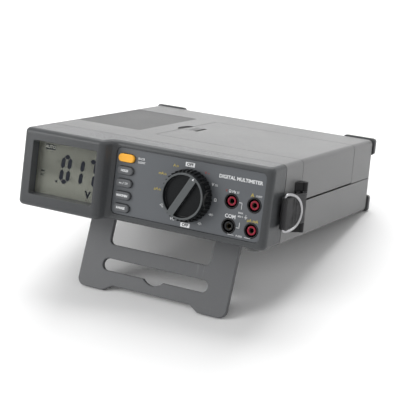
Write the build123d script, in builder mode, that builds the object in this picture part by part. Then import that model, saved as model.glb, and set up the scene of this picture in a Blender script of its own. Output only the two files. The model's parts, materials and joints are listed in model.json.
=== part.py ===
from build123d import *
from math import acos, atan2, cos, degrees, hypot, radians, sin, tan
import os

os.makedirs("parts", exist_ok=True)

# Bench multimeter with a fold-out front stand, a lidded lead store on top and a carry ring on
# each side. Millimetres. The case is modelled level: X across its width, Y from front to rear,
# Z up from its underside, with Y = 0 at the foot of the control panel. At the end every piece
# is tipped back together, so that the meter stands on its stand and its rear bumpers.

# ---------------------------------------------------------------- driving dimensions
case_width = 250.0
case_height = 72.5
case_rear = 237.3          # rear face of the case
seam_y = 31.5              # joint between the front bezel and the two case shells
parting_z = 34.3           # joint between the lower and upper shells
wall = 2.6
edge_radius = 4.5          # long edges of the case
front_corner_radius = 6.0  # upright front corners
panel_lean = 4.4           # degrees that the front leans back at its top
joint_gap = 0.8            # visible gap where two case mouldings meet
lip_length = 3.0           # tongue that closes a case joint from inside
lip_thickness = 1.2
lip_clearance = 0.2
piece_clearance = 0.2      # a plate in its recess
seat_clearance = 0.05      # between faces that rest on each other

display_proud = 13.7       # the display housing stands this far in front of the panel
display_right = -37.5      # right flank of the display housing
flank_run = 3.0            # how far the flank slopes outwards down to the panel
valley_radius = 5.0
window_width = 69.6
window_height = 50.4
window_x = -78.4
window_s = 36.2            # heights on the leaning front are measured along it
window_depth = 8.0
window_taper = 11.0
lens_thickness = 1.2
lens_margin = 2.4
glass_thickness = 2.6
holder_depth = 3.4
board_thickness = 1.6

panel_left = -31.0
panel_right = 119.2
panel_bottom = 6.5
panel_top = 67.3
panel_corner = 5.0
panel_recess = 2.0
panel_thickness = 1.2
front_wall = 3.2

key_x = -19.9
key_first_s = 13.0
key_pitch = 11.35
key_names = ["range_button", "max_min_button", "function_button", "hold_button", "backlight_button"]
key_length = 16.4
key_width = 7.2
key_proud = 1.9
key_clearance = 0.35
key_flange = 0.8
key_flange_thickness = 1.2
key_travel = 1.2

dial_x = 46.2
dial_s = 35.8
dial_radius = 22.9
dial_face_radius = 20.5
dial_height = 12.4
dial_gap = 0.5             # between the dial's skirt and the panel
dial_dish = 3.6
dial_bar_width = 6.6
dial_rim = 1.5
rib_count = 36
rib_radius = 1.2
spindle_radius = 3.0
spindle_clearance = 0.05
spindle_socket = 6.5
rotor_radius = 18.0
rotor_thickness = 2.4
rotor_gap = 0.6

jack_x = 99.5
jack_s = 27.3
jack_pitch = 22.0
jack_well_radius = 5.7
jack_wall = 1.0
jack_depth = 19.0
jack_post_radius = 4.0
jack_bore_radius = 2.0
jack_sleeve_wall = 0.5

board_depth = 24.4         # front of the main board behind the front face
board_foot = 2.4           # the main board's lower edge above the wall, up the front
display_board_lift = -0.157  # display board's middle above the middle of the front
store_left = -28.4         # left edge of the lid over the lead store
store_front = 66.7
store_rear = 187.3
store_floor = 38.0
lid_thickness = 2.4
lid_gap = 0.6
hinge_radius = 1.8
hinge_pin_radius = 0.8
hinge_pin_length = 12.0
hinge_pin_clearance = 0.05
latch_y = 127.5
latch_width = 22.0
latch_length = 16.5
latch_gap = 0.6
latch_travel = 2.8
latch_hook = 2.4           # reach of the hook under the keeper
latch_stem = 2.0
scoop_depth = 1.5

pad_left = -118.5
pad_right = -49.5
pad_front = 72.0
pad_rear = 186.5
pad_corner = 3.0
pad_thickness = 1.0
pad_recess = 1.2

stand_y = 54.0             # hinge line of the stand
stand_z = 2.75
stand_half_width = 80.0
stand_leg = 26.0
stand_length = 83.3
stand_thickness = 4.5
stand_lean = 16.2          # degrees forward of square to the case when it is out
stand_bar_top = 39.1
slot_top = 52.7
slot_bottom = 64.1
slot_half_length = 56.5
middle_edge = 77.5
foot_half_gap = 41.7
foot_chamfer = 9.3
dip_half_width = 10.9
dip_depth = 4.7
stand_corner = 8.0
stand_window_corner = 5.5
stand_edge = 0.8
stand_barrel_radius = 2.5
stand_pin_radius = 1.25
stand_pin_clearance = 0.05
stand_pin_length = 14.0
stand_side_clearance = 0.8
stand_bay_depth = 5.6

bumper_width = 34.0
bumper_overhang = 1.2      # beyond the side of the case
bumper_rise = 1.0          # above the top of the case
bumper_height = 16.5
bumper_depth = 6.2
bumper_radius = 3.0
bumper_edge = 2.95         # rounding of its back edges
bumper_drop = 0.8
foot_radius = 7.0
foot_drop = 2.5
foot_x = 109.0
foot_y = 12.5

strap_y = 61.0             # upright pin that the webbing tab turns on
strap_z = 31.8
strap_pin_radius = 1.4
strap_width = 28.0
strap_thickness = 1.5
strap_inside_radius = 1.7
strap_stand_off = 5.4      # from the case side to the middle of the tab
strap_reach = 38.8         # from the pin to the ring's bar
ring_wire_radius = 1.3
ring_half_height = 16.3
ring_leg = 4.6
ring_bend = 3.0
ring_lean = 22.0           # degrees that the ring lies off the tab
anchor_base = 1.2
anchor_half_length = 9.0
anchor_lug = 8.0

cell_radius = 13.1
cell_length = 48.5
cell_nub_radius = 3.0
cell_nub = 1.5
cell_gap = 0.3
bay_left = -106.0
bay_front = 152.0
bay_wall = 1.6
contact_plate = 0.8
contact_boss = 2.2
contact_spring = 6.0
door_thickness = 2.4
door_side_lip = 2.5
door_end_lip = 9.2
door_gap = 0.3

screw_radius = 1.5
screw_head_radius = 2.9
screw_head = 2.0
boss_radius = 4.0

half_width = case_width / 2
lean = radians(panel_lean)
lean_slope = tan(lean)
shell_front = seam_y + joint_gap
shell_length = case_rear - shell_front
mid_z = case_height / 2

pieces = {}


def front_plane(offset=0.0):
    """Plane of the leaning front face: X across, Y up along the face, Z outwards."""
    face = Plane(origin=(0, 0, 0), x_dir=(1, 0, 0), z_dir=(0, -cos(lean), sin(lean)))
    return face.offset(offset)


def section_plane(y):
    """Upright plane across the case at a depth y: X across, Y up, extruding towards the front."""
    return Plane(origin=(0, y, 0), x_dir=(1, 0, 0), z_dir=(0, -1, 0))


def side_plane(x):
    """Upright plane along the case at x: X towards the rear, Y up, extruding towards +X."""
    return Plane(origin=(x, 0, 0), x_dir=(0, 1, 0), z_dir=(1, 0, 0))


def corner(sketch, x, y):
    """The corner of a sketch nearest to a point."""
    return sketch.vertices().sort_by_distance((x, y, 0))[0]


def plane_point(plane, x, y):
    """A point of a plane in case coordinates."""
    return plane.from_local_coords(Vector(x, y, 0))


# ---------------------------------------------------------------- front bezel
lean_length = case_height / cos(lean)
lean_direction = (0, sin(lean), cos(lean))
overrun = 14.0
bezel_outline = [
    (-half_width, seam_y + overrun),
    (-half_width, -display_proud),
    (display_right, -display_proud),
    (display_right + flank_run, 0),
    (half_width, 0),
    (half_width, seam_y + overrun),
]
inner_front = -display_proud + front_wall
bezel_hollow = [
    (-half_width + wall, seam_y + 3 * overrun),
    (-half_width + wall, inner_front),
    (display_right - wall, inner_front),
    (display_right - wall + flank_run, front_wall),
    (half_width - wall, front_wall),
    (half_width - wall, seam_y + 3 * overrun),
]
tube_margin = 3.2
tube_back = display_proud - window_depth
lens_width = window_width + 2 * lens_margin
lens_height = window_height + 2 * lens_margin
board_post_points = [(2.0, 12.0), (2.0, 61.0), (72.0, 10.0), (110.0, 60.0)]
display_post_points = [(-108.0, 5.6), (-50.0, 5.6), (-108.0, 67.2), (-50.0, 67.2)]
display_board_front = tube_back - lens_thickness - holder_depth
key_post_points = [(-5.4, 18.0), (-5.4, 52.0)]
key_board_front = -front_wall - key_flange_thickness - key_travel - 2.2
key_centres = [(key_x, key_first_s + i * key_pitch) for i in range(len(key_names))]
jack_centres = [
    (jack_x + sx * jack_pitch / 2, jack_s + ss * jack_pitch / 2)
    for ss in (1, -1)
    for sx in (-1, 1)
]
jack_neck_radius = jack_well_radius + jack_wall

with BuildPart() as front_bezel:
    with BuildSketch() as bezel_plan:
        with BuildLine():
            Polyline(bezel_outline, close=True)
        make_face()
        fillet(corner(bezel_plan, -half_width, -display_proud), front_corner_radius)
        fillet(corner(bezel_plan, display_right, -display_proud), front_corner_radius)
        fillet(corner(bezel_plan, half_width, 0), front_corner_radius)
        fillet(corner(bezel_plan, display_right + flank_run, 0), valley_radius)
    extrude(amount=lean_length, dir=lean_direction)
    top_edges = front_bezel.faces().sort_by(Axis.Z)[-1].edges()
    bottom_edges = front_bezel.faces().sort_by(Axis.Z)[0].edges()
    rim_edges = top_edges.sort_by(Axis.Y)[:-1] + bottom_edges.sort_by(Axis.Y)[:-1]
    fillet(rim_edges, edge_radius)
    # hollow from the rear
    with BuildSketch(Plane(origin=(0, wall * lean_slope, wall))):
        with BuildLine():
            Polyline(bezel_hollow, close=True)
        make_face()
    extrude(amount=(case_height - 2 * wall) / cos(lean), dir=lean_direction, mode=Mode.SUBTRACT)
    split(bisect_by=section_plane(seam_y), keep=Keep.TOP)
    # frame behind the display window
    with BuildSketch(front_plane(display_proud - 1.0)):
        with Locations((window_x, window_s)):
            Rectangle(window_width + 2 * tube_margin, window_height + 2 * tube_margin)
    extrude(amount=-(window_depth - 1.0))
    # posts for the boards
    with BuildSketch(front_plane(-front_wall + 0.5)):
        with Locations(*board_post_points):
            Circle(boss_radius - 0.8)
    extrude(amount=-(board_depth - front_wall + 0.5))
    with BuildSketch(front_plane(-front_wall + 0.5)):
        with Locations(*key_post_points):
            Circle(2.3)
    extrude(amount=key_board_front + front_wall - 0.5)
    with BuildSketch(front_plane(display_proud - front_wall + 0.5)):
        with Locations(*display_post_points):
            Circle(2.6)
    extrude(amount=-(display_proud - front_wall + 0.5 - display_board_front))
    # the display window, narrowing inwards
    with BuildSketch(front_plane(display_proud)):
        with Locations((window_x, window_s)):
            RectangleRounded(window_width, window_height, 2.0)
    extrude(amount=-window_depth, taper=window_taper, mode=Mode.SUBTRACT)
    # recess for the printed panel
    with BuildSketch(front_plane(edge_radius)):
        with Locations(((panel_left + panel_right) / 2, (panel_bottom + panel_top) / 2)):
            RectangleRounded(
                panel_right - panel_left + 2 * piece_clearance,
                panel_top - panel_bottom + 2 * piece_clearance,
                panel_corner + piece_clearance,
            )
    extrude(amount=-(panel_recess + edge_radius), mode=Mode.SUBTRACT)
    # bush for the dial's spindle
    with BuildSketch(front_plane(-panel_recess)):
        with Locations((dial_x, dial_s)):
            Circle(spindle_radius + 2.4)
    extrude(amount=-8.0)
    with BuildSketch(front_plane(-panel_recess)):
        with Locations(*key_centres):
            SlotOverall(key_length + 2 * key_clearance, key_width + 2 * key_clearance)
        with Locations((dial_x, dial_s)):
            Circle(spindle_radius + spindle_clearance)
        with Locations(*jack_centres):
            Circle(jack_neck_radius + piece_clearance)
    extrude(amount=-10.0, mode=Mode.SUBTRACT)
    # pilot holes in the posts
    with BuildSketch(front_plane(-board_depth)):
        with Locations(*board_post_points):
            Circle(screw_radius)
    extrude(amount=8.0, mode=Mode.SUBTRACT)
    with BuildSketch(front_plane(key_board_front)):
        with Locations(*key_post_points):
            Circle(1.0)
    extrude(amount=3.0, mode=Mode.SUBTRACT)
    with BuildSketch(front_plane(display_board_front)):
        with Locations(*display_post_points):
            Circle(1.0)
    extrude(amount=6.0, mode=Mode.SUBTRACT)
    # sockets for the front feet
    with BuildSketch(Plane.XY):
        with Locations((-foot_x, foot_y), (foot_x, foot_y)):
            Circle(foot_radius + piece_clearance)
    extrude(amount=1.0, mode=Mode.SUBTRACT)
pieces["front_bezel"] = front_bezel

with BuildPart() as control_panel:
    with BuildSketch(front_plane(-panel_recess)):
        with Locations(((panel_left + panel_right) / 2, (panel_bottom + panel_top) / 2)):
            RectangleRounded(panel_right - panel_left, panel_top - panel_bottom, panel_corner)
        with Locations(*key_centres):
            SlotOverall(
                key_length + 2 * key_clearance,
                key_width + 2 * key_clearance,
                mode=Mode.SUBTRACT,
            )
        with Locations((dial_x, dial_s)):
            Circle(spindle_radius + 2.0, mode=Mode.SUBTRACT)
        with Locations(*jack_centres):
            Circle(jack_neck_radius + piece_clearance, mode=Mode.SUBTRACT)
    extrude(amount=panel_thickness)
pieces["control_panel"] = control_panel

# ---------------------------------------------------------------- display stack
with BuildPart() as display_lens:
    with BuildSketch(front_plane(tube_back)):
        with Locations((window_x, window_s)):
            RectangleRounded(lens_width, lens_height, 2.0)
    extrude(amount=-lens_thickness)
pieces["display_lens"] = display_lens

glass_width = window_width - 1.0
glass_height = window_height - 0.5
with BuildPart() as display_glass:
    with BuildSketch(front_plane(tube_back - lens_thickness)):
        with Locations((window_x, window_s)):
            Rectangle(glass_width, glass_height)
    extrude(amount=-glass_thickness)
pieces["display_glass"] = display_glass

with BuildPart() as display_holder:
    with BuildSketch(front_plane(tube_back - lens_thickness)):
        with Locations((window_x, window_s)):
            Rectangle(lens_width, lens_height)
    extrude(amount=-holder_depth)
    with BuildSketch(front_plane(tube_back - lens_thickness)):
        with Locations((window_x, window_s)):
            Rectangle(glass_width + 2 * piece_clearance, glass_height + 2 * piece_clearance)
    extrude(amount=-glass_thickness, mode=Mode.SUBTRACT)
pieces["display_holder"] = display_holder

with BuildPart() as display_board:
    with BuildSketch(front_plane(display_board_front)):
        with Locations((window_x, lean_length / 2 + display_board_lift)):
            Rectangle(lens_width + 1.0, lean_length - 2 * wall - 2.0)
        with Locations(*display_post_points):
            Circle(1.2, mode=Mode.SUBTRACT)
    extrude(amount=-board_thickness)
pieces["display_board"] = display_board

# ---------------------------------------------------------------- keys
for key_name, key_centre in zip(key_names, key_centres):
    with BuildPart() as key:
        with BuildSketch(front_plane(-front_wall - seat_clearance)):
            with Locations(key_centre):
                SlotOverall(key_length, key_width)
        extrude(amount=key_proud + front_wall + seat_clearance)
        fillet(key.faces().sort_by(Axis.Y)[0].edges(), 1.0)
        with BuildSketch(front_plane(-front_wall - seat_clearance)):
            with Locations(key_centre):
                SlotOverall(key_length + 2 * key_flange, key_width + 2 * key_flange)
        extrude(amount=-key_flange_thickness)
    pieces[key_name] = key

key_mat_thickness = 1.4
with BuildPart() as key_mat:
    with BuildSketch(front_plane(key_board_front)):
        with Locations((key_x, key_first_s + 2 * key_pitch)):
            RectangleRounded(key_length + 3.0, 4 * key_pitch + key_width + 4.0, 2.0)
    extrude(amount=key_mat_thickness)
pieces["key_mat"] = key_mat

key_board_left = panel_left + 0.6
key_board_right = key_post_points[0][0] + 3.0
with BuildPart() as key_board:
    with BuildSketch(front_plane(key_board_front)):
        with Locations(((key_board_left + key_board_right) / 2, key_first_s + 2 * key_pitch)):
            Rectangle(key_board_right - key_board_left, 4 * key_pitch + key_width + 5.0)
        with Locations(*key_post_points):
            Circle(1.2, mode=Mode.SUBTRACT)
    extrude(amount=-board_thickness)
pieces["key_board"] = key_board

# ---------------------------------------------------------------- selector dial
dial_back = -panel_recess + panel_thickness + dial_gap
dial_front = dial_back + dial_height
with BuildPart() as selector_dial:
    with BuildSketch(front_plane(dial_back)):
        with Locations((dial_x, dial_s)):
            Circle(dial_radius)
    with BuildSketch(front_plane(dial_front)):
        with Locations((dial_x, dial_s)):
            Circle(dial_face_radius)
    loft()
    with BuildSketch(front_plane(dial_front)):
        with Locations((dial_x, dial_s)):
            Circle(dial_face_radius - dial_rim)
    extrude(amount=-dial_dish, taper=12.0, mode=Mode.SUBTRACT)
    with BuildSketch(front_plane(dial_front - dial_dish - 1.0)):
        with Locations((dial_x, dial_s)):
            with Locations(Rotation(0, 0, -30)):
                Rectangle(dial_bar_width, 2 * dial_face_radius - 2.2)
    extrude(amount=dial_dish + 1.0)
    # grip ribs round the skirt
    with BuildSketch(front_plane(dial_back)):
        with Locations((dial_x, dial_s)):
            with PolarLocations(dial_radius - 0.45, rib_count):
                Circle(rib_radius)
    extrude(amount=dial_height - 4.5, taper=3.0)
    with BuildSketch(front_plane(dial_back)):
        with Locations((dial_x, dial_s)):
            Circle(spindle_radius)
    extrude(amount=spindle_socket, mode=Mode.SUBTRACT)
pieces["selector_dial"] = selector_dial

rotor_back = -board_depth + rotor_gap
with BuildPart() as dial_spindle:
    with BuildSketch(front_plane(dial_back + spindle_socket)):
        with Locations((dial_x, dial_s)):
            Circle(spindle_radius)
    extrude(amount=rotor_back - dial_back - spindle_socket)
pieces["dial_spindle"] = dial_spindle

with BuildPart() as switch_rotor:
    with BuildSketch(front_plane(rotor_back)):
        with Locations((dial_x, dial_s)):
            Circle(rotor_radius)
            Circle(spindle_radius, mode=Mode.SUBTRACT)
    extrude(amount=rotor_thickness)
    with BuildSketch(front_plane(rotor_back + rotor_thickness)):
        with Locations((dial_x, dial_s)):
            Circle(spindle_radius + 2.5)
            Circle(spindle_radius, mode=Mode.SUBTRACT)
    extrude(amount=5.0)
pieces["switch_rotor"] = switch_rotor

# ---------------------------------------------------------------- input jacks
jack_front = -panel_recess + panel_thickness + 0.3
jack_back = jack_front - jack_depth
with BuildPart() as jack_block:
    with BuildSketch(front_plane(jack_front)):
        with Locations(*jack_centres):
            Circle(jack_neck_radius)
    extrude(amount=-jack_depth)
    with BuildSketch(front_plane(-front_wall - 1.0)):
        with Locations((jack_x, jack_s)):
            RectangleRounded(
                jack_pitch + 2 * jack_neck_radius + 1.0,
                jack_pitch + 2 * jack_neck_radius + 1.0,
                4.0,
            )
    extrude(amount=-(jack_depth - front_wall - 1.0))
    with BuildSketch(front_plane(jack_front)):
        with Locations(*jack_centres):
            Circle(jack_well_radius)
    extrude(amount=-(jack_depth - 2.0), mode=Mode.SUBTRACT)
    with BuildSketch(front_plane(jack_back - 3.0)):
        with Locations(*jack_centres):
            Circle(jack_bore_radius + jack_sleeve_wall)
    extrude(amount=6.0, mode=Mode.SUBTRACT)
pieces["jack_block"] = jack_block

jack_names = ["volt_jack", "amp_jack", "common_jack", "milliamp_jack"]
contact_names = ["volt_contact", "amp_contact", "common_contact", "milliamp_contact"]
jack_post_front = jack_front - 0.8
for jack_name, contact_name, jack_centre in zip(jack_names, contact_names, jack_centres):
    with BuildPart() as jack_post:
        with BuildSketch(front_plane(jack_back + 2.0)):
            with Locations(jack_centre):
                Circle(jack_post_radius)
                Circle(jack_bore_radius + jack_sleeve_wall, mode=Mode.SUBTRACT)
        extrude(amount=jack_post_front - jack_back - 2.0)
    pieces[jack_name] = jack_post
    with BuildPart() as contact:
        with BuildSketch(front_plane(jack_back)):
            with Locations(jack_centre):
                Circle(jack_bore_radius + jack_sleeve_wall)
                Circle(jack_bore_radius, mode=Mode.SUBTRACT)
        extrude(amount=jack_post_front - jack_back - 1.0)
        with BuildSketch(front_plane(jack_back)):
            with Locations(jack_centre):
                Circle(jack_bore_radius + jack_sleeve_wall)
        extrude(amount=2.0)
        with BuildSketch(front_plane(jack_back)):
            with Locations(jack_centre):
                Circle(1.2)
        extrude(amount=-(board_depth + jack_back + board_thickness + 1.0))
    pieces[contact_name] = contact

# ---------------------------------------------------------------- main board and what it carries
board_left = -31.0
board_right = 118.5
board_bottom = wall + board_foot
board_top = 66.0
with BuildPart() as main_board:
    with BuildSketch(front_plane(-board_depth)):
        with Locations(((board_left + board_right) / 2, (board_bottom + board_top) / 2)):
            Rectangle(board_right - board_left, board_top - board_bottom)
        with Locations(*board_post_points):
            Circle(screw_radius + 0.1, mode=Mode.SUBTRACT)
        with Locations(*jack_centres):
            Circle(1.4, mode=Mode.SUBTRACT)
    extrude(amount=-board_thickness)
pieces["main_board"] = main_board

with BuildPart() as board_screws:
    with BuildSketch(front_plane(-board_depth - board_thickness)):
        with Locations(*board_post_points):
            Circle(screw_head_radius)
    extrude(amount=-screw_head)
    with BuildSketch(front_plane(-board_depth - board_thickness)):
        with Locations(*board_post_points):
            Circle(screw_radius)
    extrude(amount=board_thickness + 6.0)
    with BuildSketch(front_plane(display_board_front - board_thickness)):
        with Locations(*display_post_points):
            Circle(2.0)
    extrude(amount=-1.4)
    with BuildSketch(front_plane(display_board_front - board_thickness)):
        with Locations(*display_post_points):
            Circle(1.0)
    extrude(amount=board_thickness + 4.0)
    with BuildSketch(front_plane(key_board_front - board_thickness)):
        with Locations(*key_post_points):
            Circle(2.0)
    extrude(amount=-1.4)
    with BuildSketch(front_plane(key_board_front - board_thickness)):
        with Locations(*key_post_points):
            Circle(1.0)
    extrude(amount=board_thickness + 2.5)
pieces["board_screws"] = board_screws

board_rear_face = -board_depth - board_thickness
fuse_radius = 3.15
fuse_length = 32.0
fuse_lift = 6.0
fuse_rows = [46.0, 58.0]
fuse_x = 78.0
fuse_axis_offset = board_rear_face - fuse_lift
with BuildPart() as fuses:
    for fuse_s in fuse_rows:
        fuse_start = plane_point(front_plane(fuse_axis_offset), fuse_x - fuse_length / 2, fuse_s)
        with BuildSketch(Plane(origin=fuse_start, x_dir=(0, 1, 0), z_dir=(1, 0, 0))):
            Circle(fuse_radius)
        extrude(amount=fuse_length)
pieces["fuses"] = fuses

clip_wall = 0.6
clip_width = 6.0
with BuildPart() as fuse_clips:
    for fuse_s in fuse_rows:
        for clip_x in (fuse_x - fuse_length / 2 + 1.0, fuse_x + fuse_length / 2 - 1.0 - clip_width):
            with BuildSketch(front_plane(board_rear_face)):
                with Locations((clip_x + clip_width / 2, fuse_s)):
                    Rectangle(clip_width, 2 * (fuse_radius + clip_wall))
            extrude(amount=-(fuse_lift + 1.0))
        clip_start = plane_point(front_plane(fuse_axis_offset), fuse_x - fuse_length, fuse_s)
        with BuildSketch(Plane(origin=clip_start, x_dir=(0, 1, 0), z_dir=(1, 0, 0))):
            Circle(fuse_radius)
        extrude(amount=2 * fuse_length, mode=Mode.SUBTRACT)
        with BuildSketch(front_plane(board_rear_face - clip_wall)):
            with Locations((fuse_x, fuse_s)):
                Rectangle(2 * fuse_length, 2 * fuse_radius - 1.2)
        extrude(amount=-(fuse_lift + 4.0), mode=Mode.SUBTRACT)
pieces["fuse_clips"] = fuse_clips

with BuildPart() as buzzer:
    with BuildSketch(front_plane(board_rear_face)):
        with Locations((20.0, 16.0)):
            Circle(8.0)
            Circle(1.2, mode=Mode.SUBTRACT)
    extrude(amount=-6.0)
pieces["buzzer"] = buzzer

with BuildPart() as converter_chip:
    with BuildSketch(front_plane(board_rear_face)):
        with Locations((48.0, 20.0)):
            Rectangle(14.0, 14.0)
    extrude(amount=-2.2)
pieces["converter_chip"] = converter_chip

# ---------------------------------------------------------------- case shells
inner_width = case_width - 2 * wall
inner_height = case_height - 2 * wall
inner_radius = max(edge_radius - wall, 0.5)
hinge_x = half_width - hinge_radius
hinge_z = parting_z + joint_gap / 2 + seat_clearance + hinge_radius
post_xs = (-half_width + 10.0, half_width - 10.0)
post_ys = (shell_front + 14.0, case_rear - 20.0)
case_posts = [(x, y) for x in post_xs for y in post_ys]
pin_overlap = hinge_pin_length / 2

with BuildPart() as upper_case:
    with BuildSketch(section_plane(shell_front)):
        with Locations((0, mid_z)):
            RectangleRounded(case_width, case_height, edge_radius)
    extrude(amount=-shell_length)
    fillet(upper_case.faces().sort_by(Axis.Y)[-1].edges(), edge_radius)
    with BuildSketch(section_plane(shell_front)):
        with Locations((0, mid_z)):
            RectangleRounded(inner_width, inner_height, inner_radius)
    extrude(amount=-(shell_length - wall), mode=Mode.SUBTRACT)
    split(bisect_by=Plane.XY.offset(parting_z + joint_gap / 2), keep=Keep.TOP)
    # screw posts
    with BuildSketch(Plane.XY.offset(parting_z + joint_gap / 2)):
        with Locations(*case_posts):
            Circle(boss_radius)
    extrude(amount=case_height - wall + 0.5 - parting_z - joint_gap / 2)
    with BuildSketch(Plane.XY.offset(parting_z + joint_gap / 2)):
        with Locations(*case_posts):
            Circle(screw_radius)
    extrude(amount=16.0, mode=Mode.SUBTRACT)
    # ribs behind the hinge pins
    with BuildSketch(Plane.XY.offset(parting_z + joint_gap / 2)):
        with Locations(
            (half_width - 2.0, store_front - pin_overlap / 2 - 0.5),
            (half_width - 2.0, store_rear + pin_overlap / 2 + 0.5),
        ):
            Rectangle(4.0, pin_overlap + 1.0)
    extrude(amount=2 * hinge_radius + 2.0)
    # opening for the lid through the top and the right side
    with BuildSketch(Plane.XY.offset(parting_z)):
        with Locations(((store_left + half_width + 5) / 2, (store_front + store_rear) / 2)):
            Rectangle(half_width + 5 - store_left, store_rear - store_front)
    extrude(amount=case_height, mode=Mode.SUBTRACT)
    with BuildSketch(section_plane(store_front - pin_overlap)):
        with Locations((hinge_x, hinge_z)):
            Circle(hinge_pin_radius)
    extrude(amount=-(store_rear - store_front + 2 * pin_overlap), mode=Mode.SUBTRACT)
    # recess for the textured pad
    with BuildSketch(Plane.XY.offset(case_height)):
        with Locations(((pad_left + pad_right) / 2, (pad_front + pad_rear) / 2)):
            RectangleRounded(pad_right - pad_left, pad_rear - pad_front, pad_corner)
    extrude(amount=-pad_recess, mode=Mode.SUBTRACT)
    # finger scoop beside the latch
    with BuildSketch(Plane.XY.offset(case_height)):
        with Locations((store_left, latch_y)):
            Ellipse(7.0, latch_width / 2 + 3.0)
    extrude(amount=-scoop_depth, mode=Mode.SUBTRACT)
pieces["upper_case"] = upper_case

shell_mid_y = (shell_front + case_rear) / 2
lip_root = lip_clearance + lip_thickness
lip_run = shell_length - 2 * wall - 8.0
lip_rear_run = inner_width - 4 * boss_radius
cell_row = 3
cell_layers = 2
cell_pitch = 2 * cell_radius + cell_gap
bay_width = cell_row * cell_pitch + cell_gap
bay_length = contact_plate + contact_boss + cell_length + cell_nub + contact_spring + contact_plate
bay_top = door_thickness + cell_layers * cell_pitch + cell_gap
bay_right = bay_left + bay_width
bay_rear = bay_front + bay_length
bay_x = (bay_left + bay_right) / 2
bay_y = (bay_front + bay_rear) / 2
seat_height = door_thickness + 2.0
door_screw_offset = bay_wall + boss_radius - 0.5 + 0.3
door_screws_at = [(bay_x, bay_front - door_screw_offset), (bay_x, bay_rear + door_screw_offset)]
lean_out = radians(stand_lean)
stand_stop = stand_z * tan(lean_out) + stand_thickness / 2 / cos(lean_out)
stand_bay_front = stand_y - stand_stop - 0.06
stand_bay_rear = stand_y + stand_length + 1.2
stand_bay_y = (stand_bay_front + stand_bay_rear) / 2
stand_bay_half = stand_half_width + stand_side_clearance

with BuildPart() as lower_case:
    with BuildSketch(section_plane(shell_front)):
        with Locations((0, mid_z)):
            RectangleRounded(case_width, case_height, edge_radius)
    extrude(amount=-shell_length)
    fillet(lower_case.faces().sort_by(Axis.Y)[-1].edges(), edge_radius)
    with BuildSketch(section_plane(shell_front)):
        with Locations((0, mid_z)):
            RectangleRounded(inner_width, inner_height, inner_radius)
    extrude(amount=-(shell_length - wall), mode=Mode.SUBTRACT)
    split(bisect_by=Plane.XY.offset(parting_z - joint_gap / 2), keep=Keep.BOTTOM)
    # tongue behind the parting line, at the left side and the rear
    with BuildSketch(Plane.XY.offset(parting_z - joint_gap / 2 - lip_length)):
        with Locations((-half_width + wall + lip_root / 2 - 0.2, shell_mid_y)):
            Rectangle(lip_root + 0.4, lip_run)
        with Locations((0, case_rear - wall - lip_root / 2 + 0.2)):
            Rectangle(lip_rear_run, lip_root + 0.4)
    extrude(amount=lip_length)
    with BuildSketch(Plane.XY.offset(parting_z - joint_gap / 2)):
        with Locations((-half_width + wall + lip_root - lip_thickness / 2, shell_mid_y)):
            Rectangle(lip_thickness, lip_run)
        with Locations((0, case_rear - wall - lip_root + lip_thickness / 2)):
            Rectangle(lip_rear_run, lip_thickness)
    extrude(amount=lip_length)
    # bay for the folded stand
    with BuildSketch(Plane.XY):
        with Locations((0, stand_bay_y)):
            Rectangle(2 * stand_bay_half + 2 * wall, stand_bay_rear - stand_bay_front + 2 * wall)
    extrude(amount=stand_bay_depth + wall)
    for side in (-1, 1):
        with BuildSketch(side_plane(side * stand_bay_half)):
            with Locations((stand_y, stand_z + 1.0)):
                Rectangle(8.0, 2 * (stand_z + 1.0))
        extrude(amount=side * (wall + 4.0))
    with BuildSketch(Plane.XY):
        with Locations((0, stand_bay_y)):
            Rectangle(2 * stand_bay_half, stand_bay_rear - stand_bay_front)
    extrude(amount=stand_bay_depth, mode=Mode.SUBTRACT)
    with BuildSketch(side_plane(-stand_bay_half - wall - 3.0)):
        with Locations((stand_y, stand_z)):
            Circle(stand_pin_radius)
    extrude(amount=2 * (stand_bay_half + wall + 3.0), mode=Mode.SUBTRACT)
    # battery opening with its seat for the door
    with BuildSketch(Plane.XY):
        with Locations((bay_x, bay_y)):
            Rectangle(
                bay_width + 2 * (bay_wall + door_side_lip),
                bay_length + 2 * (bay_wall + door_end_lip),
            )
    extrude(amount=seat_height)
    with BuildSketch(Plane.XY.offset(seat_height - 0.5)):
        with Locations(*door_screws_at):
            Circle(boss_radius - 0.5)
    extrude(amount=6.0)
    with BuildSketch(Plane.XY):
        with Locations((bay_x, bay_y)):
            Rectangle(bay_width + 2 * door_side_lip, bay_length + 2 * door_end_lip)
    extrude(amount=door_thickness, mode=Mode.SUBTRACT)
    with BuildSketch(Plane.XY):
        with Locations((bay_x, bay_y)):
            Rectangle(bay_width, bay_length)
        with Locations(*door_screws_at):
            Circle(screw_radius)
    extrude(amount=seat_height + 5.0, mode=Mode.SUBTRACT)
    # screw posts with sunk heads
    with BuildSketch(Plane.XY.offset(wall - 0.5)):
        with Locations(*case_posts):
            Circle(boss_radius)
    extrude(amount=parting_z - joint_gap / 2 - wall + 0.5)
    with BuildSketch(Plane.XY):
        with Locations(*case_posts):
            Circle(screw_radius + 0.2)
    extrude(amount=parting_z + 2, mode=Mode.SUBTRACT)
    with BuildSketch(Plane.XY):
        with Locations(*case_posts):
            Circle(screw_head_radius + 0.2)
    extrude(amount=screw_head + 6.0, mode=Mode.SUBTRACT)
pieces["lower_case"] = lower_case

with BuildPart() as battery_door:
    with BuildSketch(Plane.XY):
        with Locations((bay_x, bay_y)):
            RectangleRounded(
                bay_width + 2 * (door_side_lip - door_gap),
                bay_length + 2 * (door_end_lip - door_gap),
                2.0,
            )
        with Locations(*door_screws_at):
            Circle(screw_radius + 0.2, mode=Mode.SUBTRACT)
    extrude(amount=door_thickness)
    with BuildSketch(Plane.XY):
        with Locations(*door_screws_at):
            Circle(screw_head_radius + 0.2)
    extrude(amount=1.2, mode=Mode.SUBTRACT)
pieces["battery_door"] = battery_door

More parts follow.
